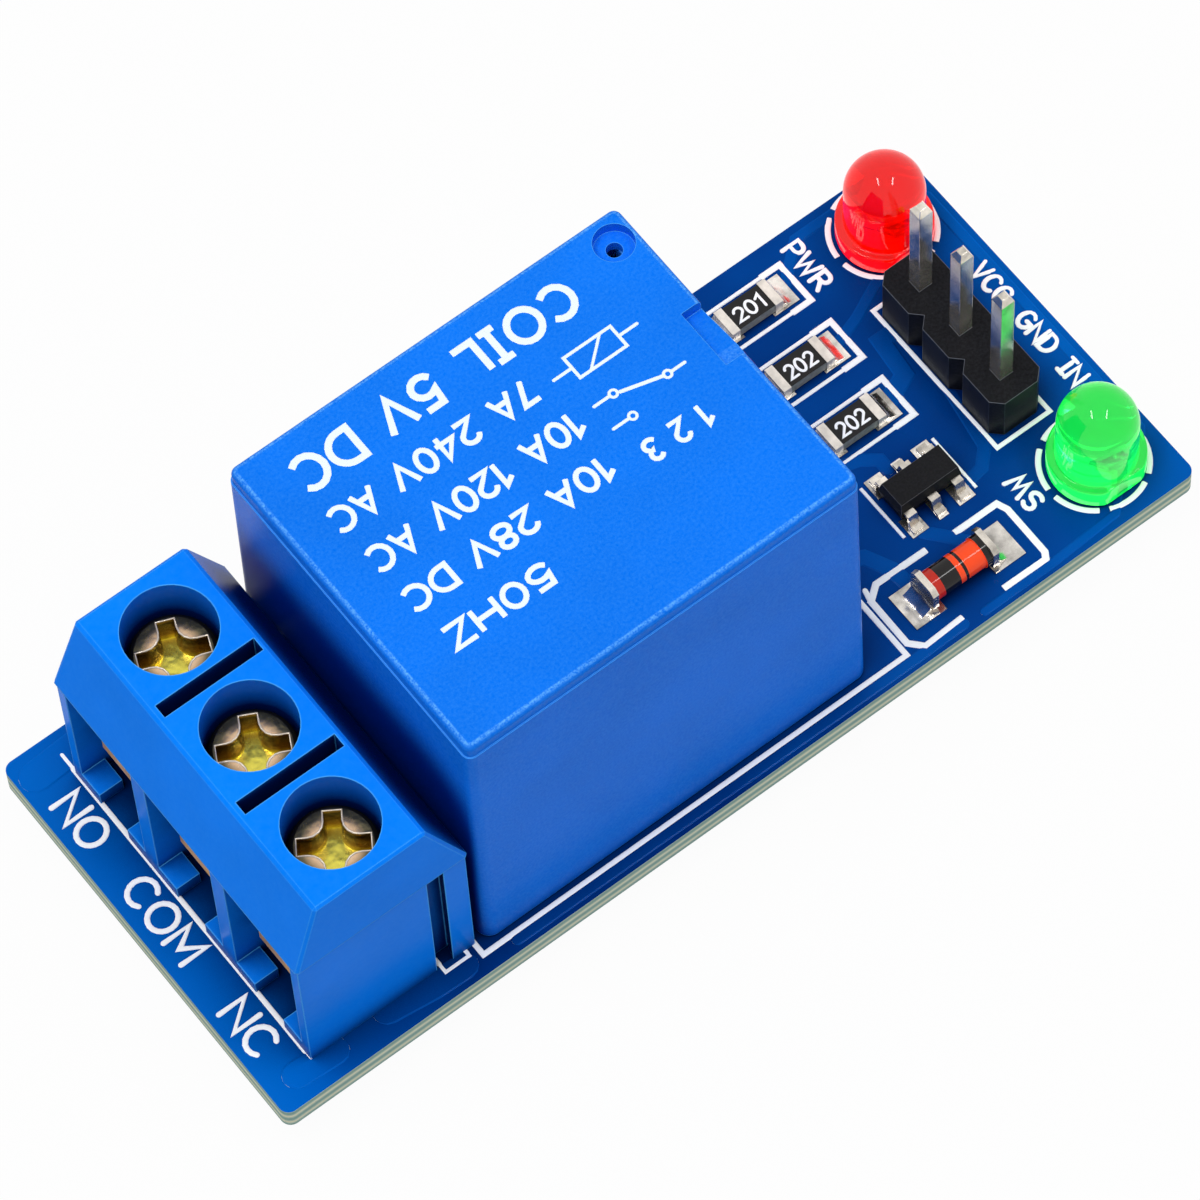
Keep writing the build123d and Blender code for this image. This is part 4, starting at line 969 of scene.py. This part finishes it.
camera_data = bpy.data.cameras.new("camera")
camera_data.sensor_width = sensor_width
camera_data.lens = focal_pixels / frame_pixels * sensor_width
camera_data.clip_start = 0.01
camera_data.clip_end = 20
camera = bpy.data.objects.new("camera", camera_data)
camera.matrix_world = Matrix.Translation(camera_place) @ facing.to_4x4()
bpy.context.scene.collection.objects.link(camera)
bpy.context.scene.camera = camera

# Lights
target = Vector((0, 0, 8)) * mm


def add_light(name, direction, distance, size_x, size_y, power, glossy=False):
    """A flat soft light that faces the object, and shows in its gloss only if glossy
    says so. Distance and sizes are in metres, and power is in watts."""
    light = bpy.data.lights.new(name, "AREA")
    light.shape = "RECTANGLE"
    light.size = size_x
    light.size_y = size_y
    light.energy = power
    lamp_object = bpy.data.objects.new(name, light)
    direction = Vector(direction).normalized()
    lamp_object.location = target + direction * distance
    lamp_object.rotation_euler = direction.to_track_quat("Z", "Y").to_euler()
    lamp_object.visible_glossy = glossy
    bpy.context.scene.collection.objects.link(lamp_object)


def seen(sideways, up):
    """A direction so many degrees beside and above the line to the camera."""
    x, y = math.radians(sideways), math.radians(up)
    return facing @ Vector((math.sin(x) * math.cos(y), math.sin(y), math.cos(x) * math.cos(y)))


add_light("window_left", seen(-20, 24), 0.5, 0.2, 0.03, 0.3, glossy=True)
add_light("window_right", seen(24, 24), 0.5, 0.2, 0.03, 0.3, glossy=True)
add_light("overhead", (-0.3, -0.05, 1.0), 0.55, 0.34, 0.34, 1.4)
add_light("front", (0.55, -1.0, 0.6), 0.6, 0.5, 0.4, 0.3)

backdrop_rays = ("Is Camera Ray", "Is Glossy Ray", "Is Transmission Ray")


def light_world():
    """Even light that is stronger from above, behind a white backdrop."""
    light_at_level, light_from_above = 0.1, 0.75
    backdrop_level = 1.0
    world = bpy.data.worlds.new("studio")
    bpy.context.scene.world = world
    world.use_nodes = True
    tree = world.node_tree
    direction = tree.nodes.new("ShaderNodeTexCoord")
    parts = tree.nodes.new("ShaderNodeSeparateXYZ")
    tree.links.new(direction.outputs["Generated"], parts.inputs["Vector"])
    sky = tree.nodes.new("ShaderNodeMapRange")
    sky.inputs["To Min"].default_value = light_at_level
    sky.inputs["To Max"].default_value = light_from_above
    tree.links.new(parts.outputs["Z"], sky.inputs["Value"])

    light_path = tree.nodes.new("ShaderNodeLightPath")
    sees_backdrop = light_path.outputs[backdrop_rays[0]]
    for ray in backdrop_rays[1:]:
        either = tree.nodes.new("ShaderNodeMath")
        either.operation = "MAXIMUM"
        tree.links.new(sees_backdrop, either.inputs[0])
        tree.links.new(light_path.outputs[ray], either.inputs[1])
        sees_backdrop = either.outputs["Value"]
    strength = tree.nodes.new("ShaderNodeMapRange")
    strength.inputs["To Max"].default_value = backdrop_level
    tree.links.new(sky.outputs["Result"], strength.inputs["To Min"])
    tree.links.new(sees_backdrop, strength.inputs["Value"])
    backdrop = tree.nodes["Background"]
    backdrop.inputs["Color"].default_value = (1, 1, 1, 1)
    tree.links.new(strength.outputs["Result"], backdrop.inputs["Strength"])


def lay_floor():
    """A pale round floor that shows white and keeps a share of the object's shadow."""
    floor_radius = 3000
    white_share = 0.96
    shape = bmesh.new()
    bmesh.ops.create_circle(shape, cap_ends=True, radius=floor_radius, segments=96)
    mesh = bpy.data.meshes.new("floor")
    shape.to_mesh(mesh)
    shape.free()
    mesh.transform(Matrix.Scale(mm, 4))
    floor = bpy.data.objects.new("floor", mesh)
    bpy.context.scene.collection.objects.link(floor)

    pale_gray = (0.62, 0.62, 0.62, 1.0)
    finish = Finish("floor", pale_gray, 0.9)
    light_path = finish.node("ShaderNodeLightPath")
    sees_backdrop = light_path.outputs[backdrop_rays[0]]
    for ray in backdrop_rays[1:]:
        sees_backdrop = finish.math("MAXIMUM", sees_backdrop, light_path.outputs[ray])
    white = finish.node("ShaderNodeEmission", Strength=1.0)
    both = finish.node("ShaderNodeMixShader")
    finish.link(finish.math("MULTIPLY", sees_backdrop, white_share), both.inputs[0])
    finish.link(finish.shader.outputs["BSDF"], both.inputs[1])
    finish.link(white.outputs["Emission"], both.inputs[2])
    finish.link(both.outputs["Shader"], finish.tree.nodes["Material Output"].inputs["Surface"])
    mesh.materials.append(finish.material)


light_world()
lay_floor()
bpy.context.scene.view_settings.view_transform = "Standard"
